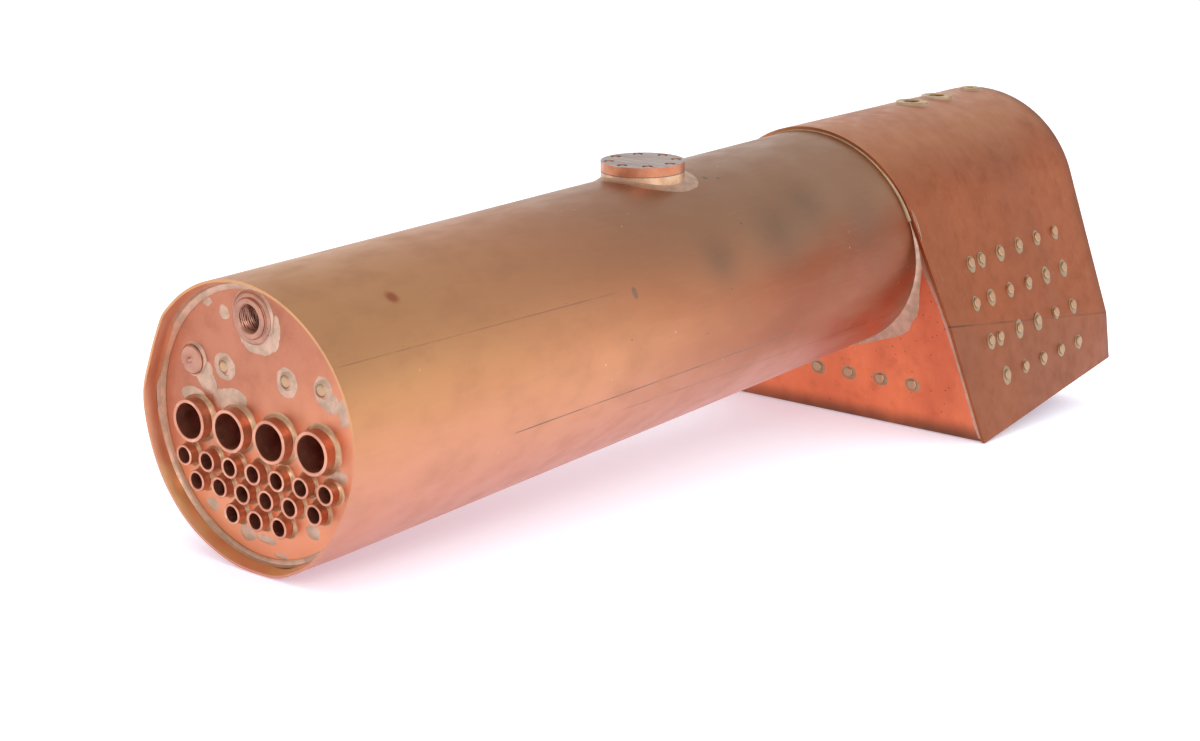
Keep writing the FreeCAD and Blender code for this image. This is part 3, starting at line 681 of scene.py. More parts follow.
def dented(angle, depth):
    """Change of radius: each dent is exp(-(angle off its middle / half width)^2) x exp(-(depth / reach)^2)."""
    degrees = np.degrees(angle) % 360.0
    change = 0.0
    for middle, half_width, outward in RIM_DENTS:
        off = (degrees - middle + 180.0) % 360.0 - 180.0
        change = change + outward * MM * np.exp(-(off / half_width) ** 2)
    ripple = 0.16 * MM * wobble(angle, 4, (7, 11, 17, 26, 41))
    return (change + ripple) * np.exp(-(depth / DENT_REACH) ** 2)


def barrel_surface(turns=384):
    """Loops round the axis: outside from rim to rear, then the bore from rear to rim."""
    angle = np.linspace(0, 2 * np.pi, turns, endpoint=False)[:, None]
    lip = np.linspace(0.0, 0.030, 22)
    far = np.linspace(0.036, -BARREL_REAR_X, 44)
    depth = np.concatenate([lip, far])[None, :]
    outer = BARREL_R + dented(angle, depth)
    thin = np.clip(1.0 - depth / LIP_TAPER, 0.0, 1.0) ** 1.5
    inner = outer - BARREL_WALL + (BARREL_WALL - LIP_T) * thin
    back = 0.00022 * (1.0 + wobble(angle, 9, (5, 9, 14, 23, 37)))
    x = -depth - np.clip(back, 0.0, 0.0006) * np.exp(-depth / 0.002)
    r = np.concatenate([outer, inner[:, ::-1]], axis=1)
    x = np.concatenate([x, x[:, ::-1]], axis=1)
    return ring_of_loops(np.stack([x, r * np.cos(angle), r * np.sin(angle)], axis=-1))


def drill(piece, cutters):
    """Cut closed cutter surfaces out of a finished piece, exactly, and keep the result as its mesh."""
    tool = welded("cutter", cutters)
    cut = piece.modifiers.new("drill", "BOOLEAN")
    cut.operation = "DIFFERENCE"
    cut.solver = "EXACT"
    cut.object = tool
    ready = piece.evaluated_get(bpy.context.evaluated_depsgraph_get())
    mesh = bpy.data.meshes.new_from_object(ready)
    piece.modifiers.clear()
    piece.data = mesh
    mesh.set_sharp_from_angle(angle=SHARP)
    bpy.data.objects.remove(tool)


def plug(centre, axis, r, length, count=72):
    """A plain closed cylinder from centre along axis: two radii of nothing close its ends."""
    return turned([(0.0, 0.0), (0.0, r), (length, r), (length, 0.0)], centre, axis, count)


DOME_LOW, DOME_HIGH = box("dome_ring")
DOME_X = (DOME_LOW[0] + DOME_HIGH[0]) / 2
DOME_R = (DOME_HIGH[0] - DOME_LOW[0]) / 2
DOME_NECK_R = 0.0194
DRILL_Z, DRILL_LENGTH = 0.050, 0.03      # where a drill that comes in from above stops, and its length
barrel = add_piece("barrel_tube", barrel_surface(), BARREL_FINISH, ["barrel"])
drill(barrel, plug((DOME_X, 0.0, DRILL_Z), UPWARD, DOME_NECK_R, DRILL_LENGTH))
print("barrel faces:", len(barrel.data.polygons))

# %% [markdown]
# ## The wrapper
#
# One sheet goes up one side of the firebox, over the top and down the other. Every section is an arc, a side
# that leans out, a soft crease and a steeper skirt, and each of those values runs evenly from the joint to the
# rear. So the surface is a function of two numbers: where round the section, and how far along. Its front edge
# leans, so the first value of x on each line depends on the height there and is found by a few repeats.

# %% Section of the wrapper
JOINT_LEAN = 0.172                       # x gained for each metre of height
WRAPPER_T, LAP_GAP = 0.002, 0.0003
FRONT_ARC_R, REAR_ARC_R, REAR_ARC_Z = BARREL_R + LAP_GAP + WRAPPER_T, 0.0686, -0.0051
SIDE_LEAN = np.radians(19.0)
FOOT_FRONT, FOOT_REAR = (-0.4599, 0.1019, -0.1079), (REAR_X, 0.0979, -0.0968)
SKIRT_SHARE, SIDE_SHARE = 0.22, 0.50     # how much of half the sheet is skirt, and skirt and side
WAVINESS = 0.10 * MM                     # hammered sheet is out of true by about twice this


def lerp(a, b, t):
    """The straight mix of a and b."""
    return a + (b - a) * t


def wrapper_section(s, x, inset):
    """(y, z) of the sheet at x: s is -1 at the right foot, 0 on top and 1 at the left foot."""
    t = (x - JOINT_X) / (REAR_X - JOINT_X)
    arc_r, arc_z = lerp(FRONT_ARC_R, REAR_ARC_R, t) - inset, t * REAR_ARC_Z
    ny, nz = np.cos(SIDE_LEAN), np.sin(SIDE_LEAN)
    tangent_y, tangent_z = arc_r * ny, arc_z + arc_r * nz
    outer_y, outer_z = tangent_y + inset * ny, tangent_z + inset * nz
    crease_z = lerp(*CREASE_Z, t)
    crease_y = outer_y + np.tan(SIDE_LEAN) * (outer_z - crease_z)
    along = (x - FOOT_FRONT[0]) / (FOOT_REAR[0] - FOOT_FRONT[0])
    foot_y, foot_z = lerp(FOOT_FRONT[1], FOOT_REAR[1], along), lerp(FOOT_FRONT[2], FOOT_REAR[2], along)
    run_y, run_z = foot_y - crease_y, foot_z - crease_z
    skirt_length = np.hypot(run_y, run_z)
    sy, sz = -run_z / skirt_length, run_y / skirt_length
    side_line = crease_y * ny + crease_z * nz - inset
    skirt_line = crease_y * sy + crease_z * sz - inset
    cross = ny * sz - nz * sy
    crease_y = (side_line * sz - skirt_line * nz) / cross
    crease_z = (skirt_line * ny - side_line * sy) / cross
    foot_y = crease_y + run_y * (foot_z - crease_z) / run_z
    u = 1.0 - np.abs(s)                  # 0 at the foot, 1 on top
    skirt = np.clip(u / SKIRT_SHARE, 0, 1)
    side = np.clip((u - SKIRT_SHARE) / (SIDE_SHARE - SKIRT_SHARE), 0, 1)
    turn = lerp(SIDE_LEAN, np.pi / 2, np.clip((u - SIDE_SHARE) / (1 - SIDE_SHARE), 0, 1))
    y = np.where(u < SKIRT_SHARE, lerp(foot_y, crease_y, skirt), lerp(crease_y, tangent_y, side))
    z = np.where(u < SKIRT_SHARE, lerp(foot_z, crease_z, skirt), lerp(crease_z, tangent_z, side))
    y = np.where(u > SIDE_SHARE, arc_r * np.cos(turn), y)
    z = np.where(u > SIDE_SHARE, arc_z + arc_r * np.sin(turn), z)
    return np.sign(s) * y, z


def front_edge_x(s, inset, recess=0.0):
    """x of the leaning joint plane on each line of the sheet, by repeats of: height there, then x there."""
    x = np.full(np.shape(s), JOINT_X)
    for _ in range(8):
        x = JOINT_X - recess + JOINT_LEAN * wrapper_section(s, x, inset)[1]
    return x


def wrapper_face(s, v, inset):
    """Points of one face of the sheet: v is 0 at the front edge and 1 at the rear."""
    x = lerp(front_edge_x(s, inset)[:, None], REAR_X, v[None, :])
    y, z = wrapper_section(s[:, None], x, inset)
    return np.stack([x, y, z], axis=-1)


def wrapper_surface():
    """The outer face out and the inner face back as one loop, closed at both feet along its middle line."""
    half = np.unique(np.concatenate([np.linspace(0, 1 - SIDE_SHARE, 64), np.linspace(1 - SIDE_SHARE, 1, 34),
                                     [1 - SKIRT_SHARE]]))
    s = np.concatenate([-half[::-1], half[1:]])
    s[len(half) - 1] = 1e-9
    v = np.unique(np.concatenate([np.linspace(0, 0.06, 8), np.linspace(0.06, 1.0, 52)]))
    outer, inner = wrapper_face(s, v, 0.0), wrapper_face(s, v, WRAPPER_T)
    x, y, z = outer[..., 0], outer[..., 1], outer[..., 2]
    ripple = WAVINESS * np.sin(x * 61.0 + 1.0) * np.sin(z * 47.0 + y * 23.0)
    outer[..., 1] = y - np.sign(y) * (WAVINESS + ripple) * np.clip(np.abs(y) / 0.05, 0, 1)
    loops = np.concatenate([outer, inner[:, ::-1]], axis=1)
    middle = (loops + loops[:, ::-1]) / 2
    grid = np.concatenate([middle[:1], loops, middle[-1:]])
    return grid, grid_faces(grid.shape[0], grid.shape[1])


TOP_BUSHES = ("safety_valve_bush_front", "safety_valve_bush_rear", "turret_bush")
BACK_BUSHES = ("regulator_bush", "gauge_bush_top", "gauge_bush_bottom", "feed_bush_left", "feed_bush_right",
               "blowdown_bush")
WIDE_BORE, NARROW_BORE = 0.0048, 0.0026
BORE_RADII = dict.fromkeys(TOP_BUSHES[:2] + BACK_BUSHES[:1], WIDE_BORE)
BORE_RADII.update(dict.fromkeys(TOP_BUSHES[2:] + BACK_BUSHES[1:] + ("blower_valve_bush",), NARROW_BORE))


def middle_of(node):
    """Centre of a node's box."""
    low, high = box(node)
    return (low + high) / 2


wrapper = add_piece("wrapper_sheet", wrapper_surface(), WRAPPER_FINISH, ["outer_wrapper"])
DRILL_MARGIN = 0.0008
holes = [plug((middle_of(name)[0], 0.0, DRILL_Z), UPWARD, BORE_RADII[name] + DRILL_MARGIN, DRILL_LENGTH, 48)
         for name in TOP_BUSHES]
drill(wrapper, together(holes))
print("wrapper faces:", len(wrapper.data.polygons))

# %% [markdown]
# ## Tubes and flues
#
# Each tube is expanded into the plate and left standing a little proud, with its mouth cut square and eased.
# The lathe helper turns one profile per tube: out along the outside, round the mouth, back down the bore.
# A small uneven ring of the radius keeps twenty tubes from being twenty copies.

# %% Turn the tubes
EASE = 0.00025
BIG_TUBE_R = 0.006                       # anything wider is a flue and gets more points round it


def tube_profile(front_x, rear_x, r_out, r_in):
    """Outside from rear to front, eased mouth, then the bore from front to rear. Along is +x."""
    return [(rear_x, r_out), (PLATE_X - 0.004, r_out), (front_x - EASE, r_out), (front_x, r_out - EASE),
            (front_x, r_in + EASE), (front_x - EASE, r_in), (PLATE_X - 0.004, r_in), (rear_x, r_in)]


def tube_walls(node):
    """Wall of a flue or of a fire tube."""
    return 0.00163 if node.startswith("flue") else 0.00122


tube_nodes = sorted(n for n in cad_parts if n.startswith(("flue_", "fire_tube_")))
for number, name in enumerate(tube_nodes):
    low, high = box(name)
    centre, r_out = (low + high) / 2, (high[1] - low[1]) / 2
    profile = tube_profile(high[0], low[0], r_out, r_out - tube_walls(name))

    def uneven(turn, along, r, seed=number, mouth=high[0], size=r_out):
        """The mouth is out of round by up to about two hundredths of the radius; the rest is true."""
        fade = np.clip(1.0 - (mouth - along) / 0.008, 0.0, 1.0)
        return r + 0.022 * size * wobble(turn, seed, (2, 3, 5)) * fade

    surface = turned(profile, (0.0, centre[1], centre[2]), FORWARD, 72 if r_out > BIG_TUBE_R else 48, uneven)
    add_piece(name + "_pipe", surface, TUBE_FINISH, [name])
print("tubes:", len(tube_nodes))

# %% [markdown]
# ## Bushes
#
# Bushes are turned from bar and threaded inside. A thread is the same lathe surface with its radius changed by
# a saw wave that moves on one pitch for each turn, so the ridge runs as a true helix. The profile's points down
# the bore are close enough together to carry it.

# %% Turn the bushes
THREAD_STEPS = 5                         # profile points in one pitch


def thread_in(bore_r, start, end, pitch, depth):
    """radius function: between start and end, r near bore_r is cut away by a wave of along/pitch - turn."""
    def change(turn, along, r):
        phase = (along / pitch - turn / (2 * np.pi)) % 1.0
        ridge = 1.0 - np.abs(2.0 * phase - 1.0)
        inside = (np.abs(r - bore_r) < 1e-6) & (along > start) & (along < end)
        return np.where(inside, r + depth * (1.0 - ridge), r)
    return change


def bush(name, outline, centre, axis, bore_r, length, finish, pitch=0.00095, count=72):
    """outline runs up the outside from the hidden end to the face; the bore comes back with its thread."""
    pieces = int(length / pitch * THREAD_STEPS)
    face = outline[-1][0]
    bore = [(face, bore_r + 0.0006), (face - 0.0006, bore_r)]
    bore += [(face - 0.0006 - (length - 0.0007) * k / pieces, bore_r) for k in range(1, pieces + 1)]
    change = thread_in(bore_r, face - length + 0.0006, face - 0.0009, pitch, 0.00042)
    surface = turned(list(outline) + bore, centre, axis, count, change)
    return add_piece(name + "_turned", surface, finish, [name])


STEAM_LOW, STEAM_HIGH = box("steam_outlet_bush")
STEAM_Z = (STEAM_LOW[2] + STEAM_HIGH[2]) / 2
FLANGE_R, BOSS_R, BODY_R, STEAM_BORE_R = 0.0112, 0.0088, 0.0080, 0.0059
steam_length = STEAM_HIGH[0] - STEAM_LOW[0]
steam_outline = [(-0.008, BODY_R), (0.0, BODY_R), (0.0, FLANGE_R), (0.0009, FLANGE_R),
                 (0.0014, FLANGE_R - 0.0005), (0.0015, FLANGE_R - 0.0011), (0.0015, BOSS_R + 0.0002),
                 (0.0017, BOSS_R), (0.0023, BOSS_R), (0.0027, BOSS_R - 0.0004)]
bush("steam_outlet_bush", steam_outline, (PLATE_X, 0.0, STEAM_Z), FORWARD, STEAM_BORE_R, steam_length,
     STEAM_BUSH_FINISH, pitch=0.0011, count=96)

for name in TOP_BUSHES:
    low, high = box(name)
    flange_r, height = (high[0] - low[0]) / 2, high[2] - low[2]
    body_r = flange_r * 0.8
    outline = [(-height, body_r), (-0.0040, body_r), (-0.0040, flange_r), (-0.0004, flange_r),
               (0.0, flange_r - 0.0004)]
    bush(name, outline, (middle_of(name)[0], 0.0, high[2]), UPWARD, BORE_RADII[name], height, BRASS_FINISH)

for name in BACK_BUSHES:
    low, high = box(name)
    flange_r, length = (high[1] - low[1]) / 2, high[0] - low[0]
    outline = [(-length, flange_r * 0.79), (-0.002, flange_r * 0.79), (-0.002, flange_r), (-0.0003, flange_r),
               (0.0, flange_r - 0.0003)]
    centre = (low[0], middle_of(name)[1], middle_of(name)[2])
    bush(name, outline, centre, REARWARD, BORE_RADII[name], length, BRASS_FINISH)

low, high = box("blower_valve_bush")
length = high[0] - low[0]
outline = [(-length, 0.0064), (-0.0003, 0.0064), (0.0, 0.0061)]
centre = (low[0], middle_of("blower_valve_bush")[1], middle_of("blower_valve_bush")[2])
bush("blower_valve_bush", outline, centre, REARWARD, BORE_RADII["blower_valve_bush"], length - 0.0001,
     BRASS_FINISH)
print("bushes turned")

# %% [markdown]
# ## Stays seen from outside
#
# The long stays that tie the two end plates together end in plain rounded studs in front; the hollow blower
# stay is shut by a disc with a turning pip. They are lathe profiles with eased edges, run right through to the
# backhead so that each one is still a whole stay.

# %% Long stays and the blank disc
EASED = 0.0005
LONG_STAYS = ("longitudinal_stay_left", "longitudinal_stay_right", "longitudinal_stay_outer_left")
LONG_SHANK_R = 0.00238


def stud_stay(node):
    """Stay with a rounded stud head on each plate: head, shank, head, closed at both ends."""
    low, high = box(node)
    head_r, shank_r, head_h = (high[1] - low[1]) / 2, LONG_SHANK_R, high[0] - PLATE_X
    front, rear = high[0], low[0]
    profile = [(rear, 0.0), (rear, head_r - EASED), (rear + EASED, head_r), (BACK_X, head_r),
               (BACK_X, shank_r), (PLATE_X, shank_r), (PLATE_X, head_r),
               (PLATE_X + head_h * 0.45, head_r - 0.0001), (PLATE_X + head_h * 0.8, head_r - 0.0005),
               (front, head_r - 0.0013), (front, 0.0)]
    centre = middle_of(node)
    return turned(profile, (0.0, centre[1], centre[2]), FORWARD, 40)


for name in LONG_STAYS:
    add_piece(name + "_stud", stud_stay(name), STAY_FINISH, [name])

low, high = box("blower_stay")
BLOWER_R, BLOWER_BORE_R = (high[1] - low[1]) / 2, 0.0020
profile = [(low[0], BLOWER_BORE_R), (low[0], BLOWER_R), (high[0], BLOWER_R), (high[0], BLOWER_BORE_R)]
centre = middle_of("blower_stay")
add_piece("blower_stay_pipe", turned(profile, (0.0, centre[1], centre[2]), FORWARD, 32), STAY_FINISH,
          ["blower_stay"])
low, high = box("blower_stay_blank")
disc_r, pip_r, pip_h = (high[1] - low[1]) / 2, 0.0013, 0.0010
face = high[0] - pip_h
profile = [(low[0], 0.0), (low[0], disc_r), (face - 0.0005, disc_r), (face, disc_r - 0.0006),
           (face, pip_r + 0.0004), (face + 0.0003, pip_r), (high[0] - 0.0004, pip_r - 0.0002),
           (high[0], 0.0006), (high[0], 0.0)]
blank_middle = middle_of("blower_stay_blank")
add_piece("blower_blank_disc", turned(profile, (0.0, blank_middle[1], blank_middle[2]), FORWARD, 64),
          STEAM_BUSH_FINISH, ["blower_stay_blank"])
print("stays and blank done")

# %% [markdown]
# ## Silver solder
#
# Solder does three things here. It makes a fillet round everything that stands through a plate, it makes a
# bead along every seam, and where too much was fed in it runs out and freezes as a flat grey puddle with a
# ragged edge. A puddle is a disc whose radius is uneven round its edge and whose thickness falls to nothing
# there. A placing function lays it on whatever it lies on: upright plate, leaning plate or sloping side.

# %% Puddles
PUDDLE_SINK = 0.00035                    # how far the underside goes below the metal it lies on


def puddle(lay, across, up, height, seed, ragged=0.22, count=56, rings=7, hole=0.0):
    """A frozen run of solder: across and up are its half sizes, ragged is how uneven its edge is.

    The edge radius is 1 + ragged x uneven ring. Height is height x (1 - r^3), and the underside is flat.
    """
    turn = np.linspace(0, 2 * np.pi, count, endpoint=False)[:, None]
    edge = 1.0 + ragged * 2.2 * wobble(turn, seed, (2, 3, 5, 7, 11, 16))
    r = np.linspace(hole, 1.0, rings)[None, :]
    uneven = 1.0 + 0.25 * wobble(turn + r, seed + 50, (3, 5, 8))
    top = height * (1.0 - r**3) * uneven
    u, v = across * edge * r * np.cos(turn), up * edge * r * np.sin(turn)
    under = np.full_like(u, -PUDDLE_SINK)
    u, v = np.concatenate([u, u[:, ::-1]], axis=1), np.concatenate([v, v[:, ::-1]], axis=1)
    h = np.concatenate([top - 0.00002, under], axis=1)
    return ring_of_loops(lay(u, v, h))


def on_front_plate(y, z):
    """Lays u to the left and v upwards on the front tubeplate, round the point (y, z)."""
    return lambda u, v, h: np.stack([PLATE_X + h, y + u, z + v], axis=-1)


def on_back_plate(y, z):
    """The same on the backhead, facing rearwards."""
    return lambda u, v, h: np.stack([BACK_X - h, y + u, z + v], axis=-1)


def on_throat(y, z):
    """The same on the throatplate, whose face leans forward with height."""
    lean = np.array([JOINT_LEAN, 0.0, 1.0]) / np.hypot(1.0, JOINT_LEAN)
    face = np.array([1.0, 0.0, -JOINT_LEAN]) / np.hypot(1.0, JOINT_LEAN)
    start = np.array([JOINT_X - THROAT_RECESS + JOINT_LEAN * z, y, z])
    sideways = np.array([0.0, 1.0, 0.0])
    return lambda u, v, h: start + u[..., None] * sideways + v[..., None] * lean + h[..., None] * face


def on_wrapper(x, z, side):
    """The same on the wrapper's sloping side: u forward, v up the slope."""
    s = np.linspace(0.02, 0.98, 400)
    y_line, z_line = wrapper_section(s, np.full_like(s, x), 0.0)
    order = np.argsort(z_line)
    y = np.interp(z, z_line[order], y_line[order])
    step = 0.002
    above, below = (np.interp(z + d, z_line[order], y_line[order]) for d in (step, -step))
    slope = (above - below) / (2 * step)
    up = unit([0.0, slope, 1.0])
    out = unit([0.0, 1.0, -slope])
    mirror = np.array([1.0, side, 1.0])
    start, ahead = np.array([x, y, z]), np.array([1.0, 0.0, 0.0])
    return lambda u, v, h: (start + u[..., None] * ahead + v[..., None] * up + h[..., None] * out) * mirror


THROAT_RECESS = 0.0015
LEFT_STAY_Y, RIGHT_STAY_Y, OUTER_STAY_Y = (middle_of(name)[1] / MM for name in LONG_STAYS)
BLANK_Y = blank_middle[1] / MM
front_runs = [   # y, z, half size across, half size up, height (mm), ragged
    (2.4, 34.9, 8.4, 4.2, 0.45, 0.20), (-3.4, 36.4, 5.0, 3.0, 0.4, 0.26), (10.7, 38.2, 3.8, 4.8, 0.45, 0.20),
    (13.4, 43.9, 2.6, 5.2, 0.35, 0.26), (-17.4, 46.0, 2.9, 3.4, 0.3, 0.34),
    (-27.4, 49.2, 2.6, 2.2, 0.25, 0.34),
    (RIGHT_STAY_Y - 0.6, 22.2, 6.4, 6.0, 0.5, 0.13), (LEFT_STAY_Y - 0.4, 21.6, 6.2, 6.4, 0.5, 0.13),
    (OUTER_STAY_Y - 0.4, 21.8, 5.0, 6.4, 0.5, 0.15), (OUTER_STAY_Y + 4.6, 17.2, 4.6, 4.6, 0.35, 0.22),
    (50.4, 14.6, 3.4, 6.6, 0.35, 0.24), (BLANK_Y + 5.6, 17.2, 5.6, 6.2, 0.45, 0.16),
    (BLANK_Y + 8.6, 13.0, 4.4, 5.0, 0.4, 0.20), (BLANK_Y, 21.6, 7.6, 7.2, 0.3, 0.07),
    (-15.4, 8.4, 9.0, 5.2, 0.45, 0.16), (-22.0, 7.2, 5.0, 4.8, 0.4, 0.18), (-39.6, 6.4, 7.6, 3.6, 0.4, 0.14),
    (-31.9, -41.6, 4.6, 2.8, 0.3, 0.30), (-10.5, -50.0, 4.6, 3.6, 0.35, 0.26),
    (0.7, -50.4, 6.4, 2.0, 0.3, 0.20), (29.3, -40.6, 4.4, 3.4, 0.3, 0.26),
    (9.3, -56.0, 4.4, 1.2, 0.25, 0.22), (46.1, -13.2, 5.0, 3.0, 0.3, 0.22)]
puddles = [puddle(on_front_plate(y * MM, z * MM), a * MM, b * MM, h * MM, 20 + i, ragged)
           for i, (y, z, a, b, h, ragged) in enumerate(front_runs)]
add_piece("front_plate_solder_runs", together(puddles), SOLDER_FINISH)
print("front puddles:", len(puddles))

# %% [markdown]
# ### Fillets round what stands through a plate
#
# Solder climbs a tube and spreads on the plate, so its section is a three-cornered piece with a hollow face.
# The ring's width is uneven. The hollow face is a quarter wave: it leaves the plate flat and meets the tube
# upright.

# %% Fillet rings
FACE_STEPS = np.linspace(0.0, 1.0, 6)


def fillet_ring(centre, axis, r, width, height, seed, count=48):
    """Ring of solder round a rod of radius r. Its hollow face is 1 - sine, from width out to height up."""
    turn = np.linspace(0, 2 * np.pi, count, endpoint=False)[:, None]
    swell = 1.0 + 0.55 * wobble(turn, seed, (2, 3, 5, 8))
    out = r + width * swell * (1.0 - FACE_STEPS[None, :])
    up = height * swell * (1.0 - np.sin(np.pi / 2 * (1.0 - FACE_STEPS[None, :])))
    low = np.full_like(turn, -PUDDLE_SINK)
    along = np.concatenate([low, up, low], axis=1)
    radius = np.concatenate([out[:, :1], out, np.full_like(turn, r - 0.0002)], axis=1)
    radius[:, -2] = r - 0.0001
    axis = unit(axis)
    across = unit(np.cross(axis, [0.3, 1.0, 0.2] if abs(axis[1]) < 0.9 else [1.0, 0.0, 0.3]))
    spoke = np.cos(turn)[..., None] * across + np.sin(turn)[..., None] * np.cross(axis, across)
    return ring_of_loops(np.asarray(centre) + along[..., None] * axis + radius[..., None] * spoke)


fillets = []
for number, name in enumerate(tube_nodes):
    low, high = box(name)
    y, z, r = *((low + high) / 2)[1:], (high[1] - low[1]) / 2
    big = r > BIG_TUBE_R
    width, height = (0.0019, 0.0016) if big else (0.0014, 0.0013)
    fillets.append(fillet_ring((PLATE_X, y, z), FORWARD, r, width, height, 200 + number, 72 if big else 48))
add_piece("front_tube_fillets", together(fillets), WARM_SOLDER_FINISH)

collars = [fillet_ring((PLATE_X, 0.0, STEAM_Z), FORWARD, FLANGE_R, 0.0012, 0.0008, 301, 96),
           fillet_ring((PLATE_X, blank_middle[1], blank_middle[2]), FORWARD, disc_r, 0.0012, 0.0008, 302, 72)]
STAY_HEAD_R = 0.0029
for number, name in enumerate(LONG_STAYS):
    centre = (PLATE_X, middle_of(name)[1], middle_of(name)[2])
    collars.append(fillet_ring(centre, FORWARD, STAY_HEAD_R, 0.0024, 0.0011, 310 + number))
add_piece("front_bush_and_stay_fillets", together(collars), SOLDER_FINISH)

# %% [markdown]
# The plate itself is soldered in all round its flange. The flange's rounded corner and the barrel's bore make a
# groove, and the solder fills it as a grey, slightly lumpy line.

# %% Fillet round the front tubeplate


def plate_edge_solder(count=256):
    """Ring that fills the groove: low at the plate, higher against the bore, lumpy round the turn."""
    turn = np.linspace(0, 2 * np.pi, count, endpoint=False)[:, None]
    lumps = 1.0 + 0.6 * wobble(turn, 77, (3, 7, 12, 19, 31))
    top_left = np.exp(-(((np.degrees(turn) - 150.0) / 40.0) ** 2))
    r = BARREL_INNER_R + np.array([0.0003, 0.0002, -0.0006, -0.0014, -0.0024, -0.0026]) * np.ones_like(turn)
    r[:, 3:] -= 0.0013 * (top_left + 0.25) * lumps
    rise = np.array([-0.0040, 0.0012, 0.0002, -0.0001, 0.00012, -0.0010]) * np.ones_like(turn)
    rise[:, 1:3] += np.array([0.0008, 0.0003]) * lumps * (0.6 + 0.7 * top_left)
    rise[:, 3:5] += 0.00015 * lumps
    points = np.stack([PLATE_X + rise, r * np.cos(turn), r * np.sin(turn)], axis=-1)
    return ring_of_loops(points)


add_piece("front_plate_edge_solder", plate_edge_solder(), SOLDER_FINISH)
print("fillets:", len(fillets) + len(collars))

# %% [markdown]
# ### Beads along the seams
#
# The wrapper laps the barrel and the throatplate closes the corner between them, so three seams meet at each
# side. A bead is a path with a direction to each of the two metals it joins and a width on each; the solder's
# face is hollow between them. Low on the barrel's flank far too much was fed in, and it lies there as a ragged
# grey patch.

# %% Seam beads


def bead(path, one, other, one_width, other_width, sink=0.0004):
    """Solder in the corner along path. one and other point along the two metals; widths may vary along it.

    The face runs from path + one x width to path + other x width, drawn in towards the corner by a third.
    """
    one, other = unit(one), unit(other)
    wide = np.broadcast_to(one_width, len(path))[:, None]
    tall = np.broadcast_to(other_width, len(path))[:, None]
    loops = [path - sink * (one + other), path + one * wide - other * sink]
    for t in np.linspace(0.0, 1.0, 6):
        a, b = (1.0 - t) ** 1.6, t**1.6
        loops.append(path + one * wide * a + other * tall * b)
    loops.append(path + other * tall - one * sink)
    return closed_loops(np.stack(loops, axis=1))


def seam_noise(count, seed, low, high):
    """Smooth uneven widths between low and high: a few sines along the seam."""
    t = np.linspace(0, 2 * np.pi, count)
    wave = wobble(t, seed, (3, 5, 9, 15, 24, 37), 1.6)
    return lerp(low, high, np.clip(0.5 + 0.8 * wave, 0.0, 1.0))


def wrapper_lap_bead():
    """Over the top, from side to side: barrel surface to the wrapper's front edge."""
    count = 320
    a = np.radians(np.linspace(17.0, 163.0, count))
    spoke = np.column_stack([np.zeros(count), np.cos(a), np.sin(a)])
    x = JOINT_X + JOINT_LEAN * BARREL_R * np.sin(a)
    path = BARREL_R * spoke + np.column_stack([x, np.zeros(count), np.zeros(count)])
    low_down = np.clip((np.abs(np.degrees(a) - 90.0) - 45.0) / 28.0, 0.0, 1.0)
    forward = seam_noise(count, 41, 0.0003, 0.0009) + 0.0013 * low_down
    outward = seam_noise(count, 42, 0.0009, 0.0019)
    return bead(path, np.tile([1.0, 0.0, 0.0], (count, 1)), spoke, forward, outward)


def barrel_throat_bead():
    """Round the underside: barrel surface to throatplate, with the patch on the left flank."""
    count = 420
    degrees = np.linspace(22.0, -202.0, count)
    a = np.radians(degrees)
    spoke = np.column_stack([np.zeros(count), np.cos(a), np.sin(a)])
    x = JOINT_X - THROAT_RECESS + JOINT_LEAN * BARREL_R * np.sin(a)
    path = BARREL_R * spoke + np.column_stack([x, np.zeros(count), np.zeros(count)])
    down_plate = np.column_stack([JOINT_LEAN * np.sin(a), np.cos(a), np.sin(a)])
    ragged = 1.0 + 0.35 * wobble(np.radians(degrees * 9.0), 6, (2, 3, 5, 9))
    patch = np.exp(-(((degrees + 38.0) / 17.0) ** 2)) * ragged
    wedge = np.exp(-(((degrees - 8.0) / 16.0) ** 2)) + np.exp(-(((degrees + 188.0) / 16.0) ** 2))
    width = seam_noise(count, 43, 0.0012, 0.0028) + 0.0070 * patch + 0.0020 * wedge
    width = width + seam_noise(count, 49, -0.0016, 0.0016) * np.clip(patch, 0.0, 1.0)
    forward = seam_noise(count, 44, 0.0006, 0.0014) + 0.0009 * wedge
    return bead(path, down_plate, np.tile([1.0, 0.0, 0.0], (count, 1)), width, forward)


def throat_edge_bead(side):
    """Down one side: inner face of the wrapper to the throatplate, from the lap to the foot."""
    s = np.linspace(0.52, 0.995, 240)
    x = front_edge_x(s, WRAPPER_T, THROAT_RECESS)
    y, z = wrapper_section(s, x, WRAPPER_T)
    path = np.column_stack([x, side * y, z])
    count = len(s)
    inward = np.tile([0.0, -side, 0.0], (count, 1))
    high = np.clip((s.max() - 0.75 - (s - 0.52)) / 0.2, 0.0, 1.0)
    width = seam_noise(count, 45 if side > 0 else 46, 0.0016, 0.0036) + 0.0026 * high
    forward = seam_noise(count, 47 if side > 0 else 48, 0.0008, 0.0014)
    return bead(path, inward, np.tile([1.0, 0.0, 0.0], (count, 1)), width, forward)


add_piece("wrapper_lap_solder", wrapper_lap_bead(), HALO_FINISH)
add_piece("barrel_throat_solder", barrel_throat_bead(), SOLDER_FINISH)
add_piece("throat_edge_solder_left", throat_edge_bead(1), SOLDER_FINISH)
add_piece("throat_edge_solder_right", throat_edge_bead(-1), SOLDER_FINISH)
print("seam beads done")

# %% [markdown]
# ### Halos round the firebox stays
#
# Each stay was fed a ring of solder where it comes through the sheet, and each ring has run a little downhill.
# The stays themselves are the frame's own solids. A halo is a puddle laid on the sloping side round each one.

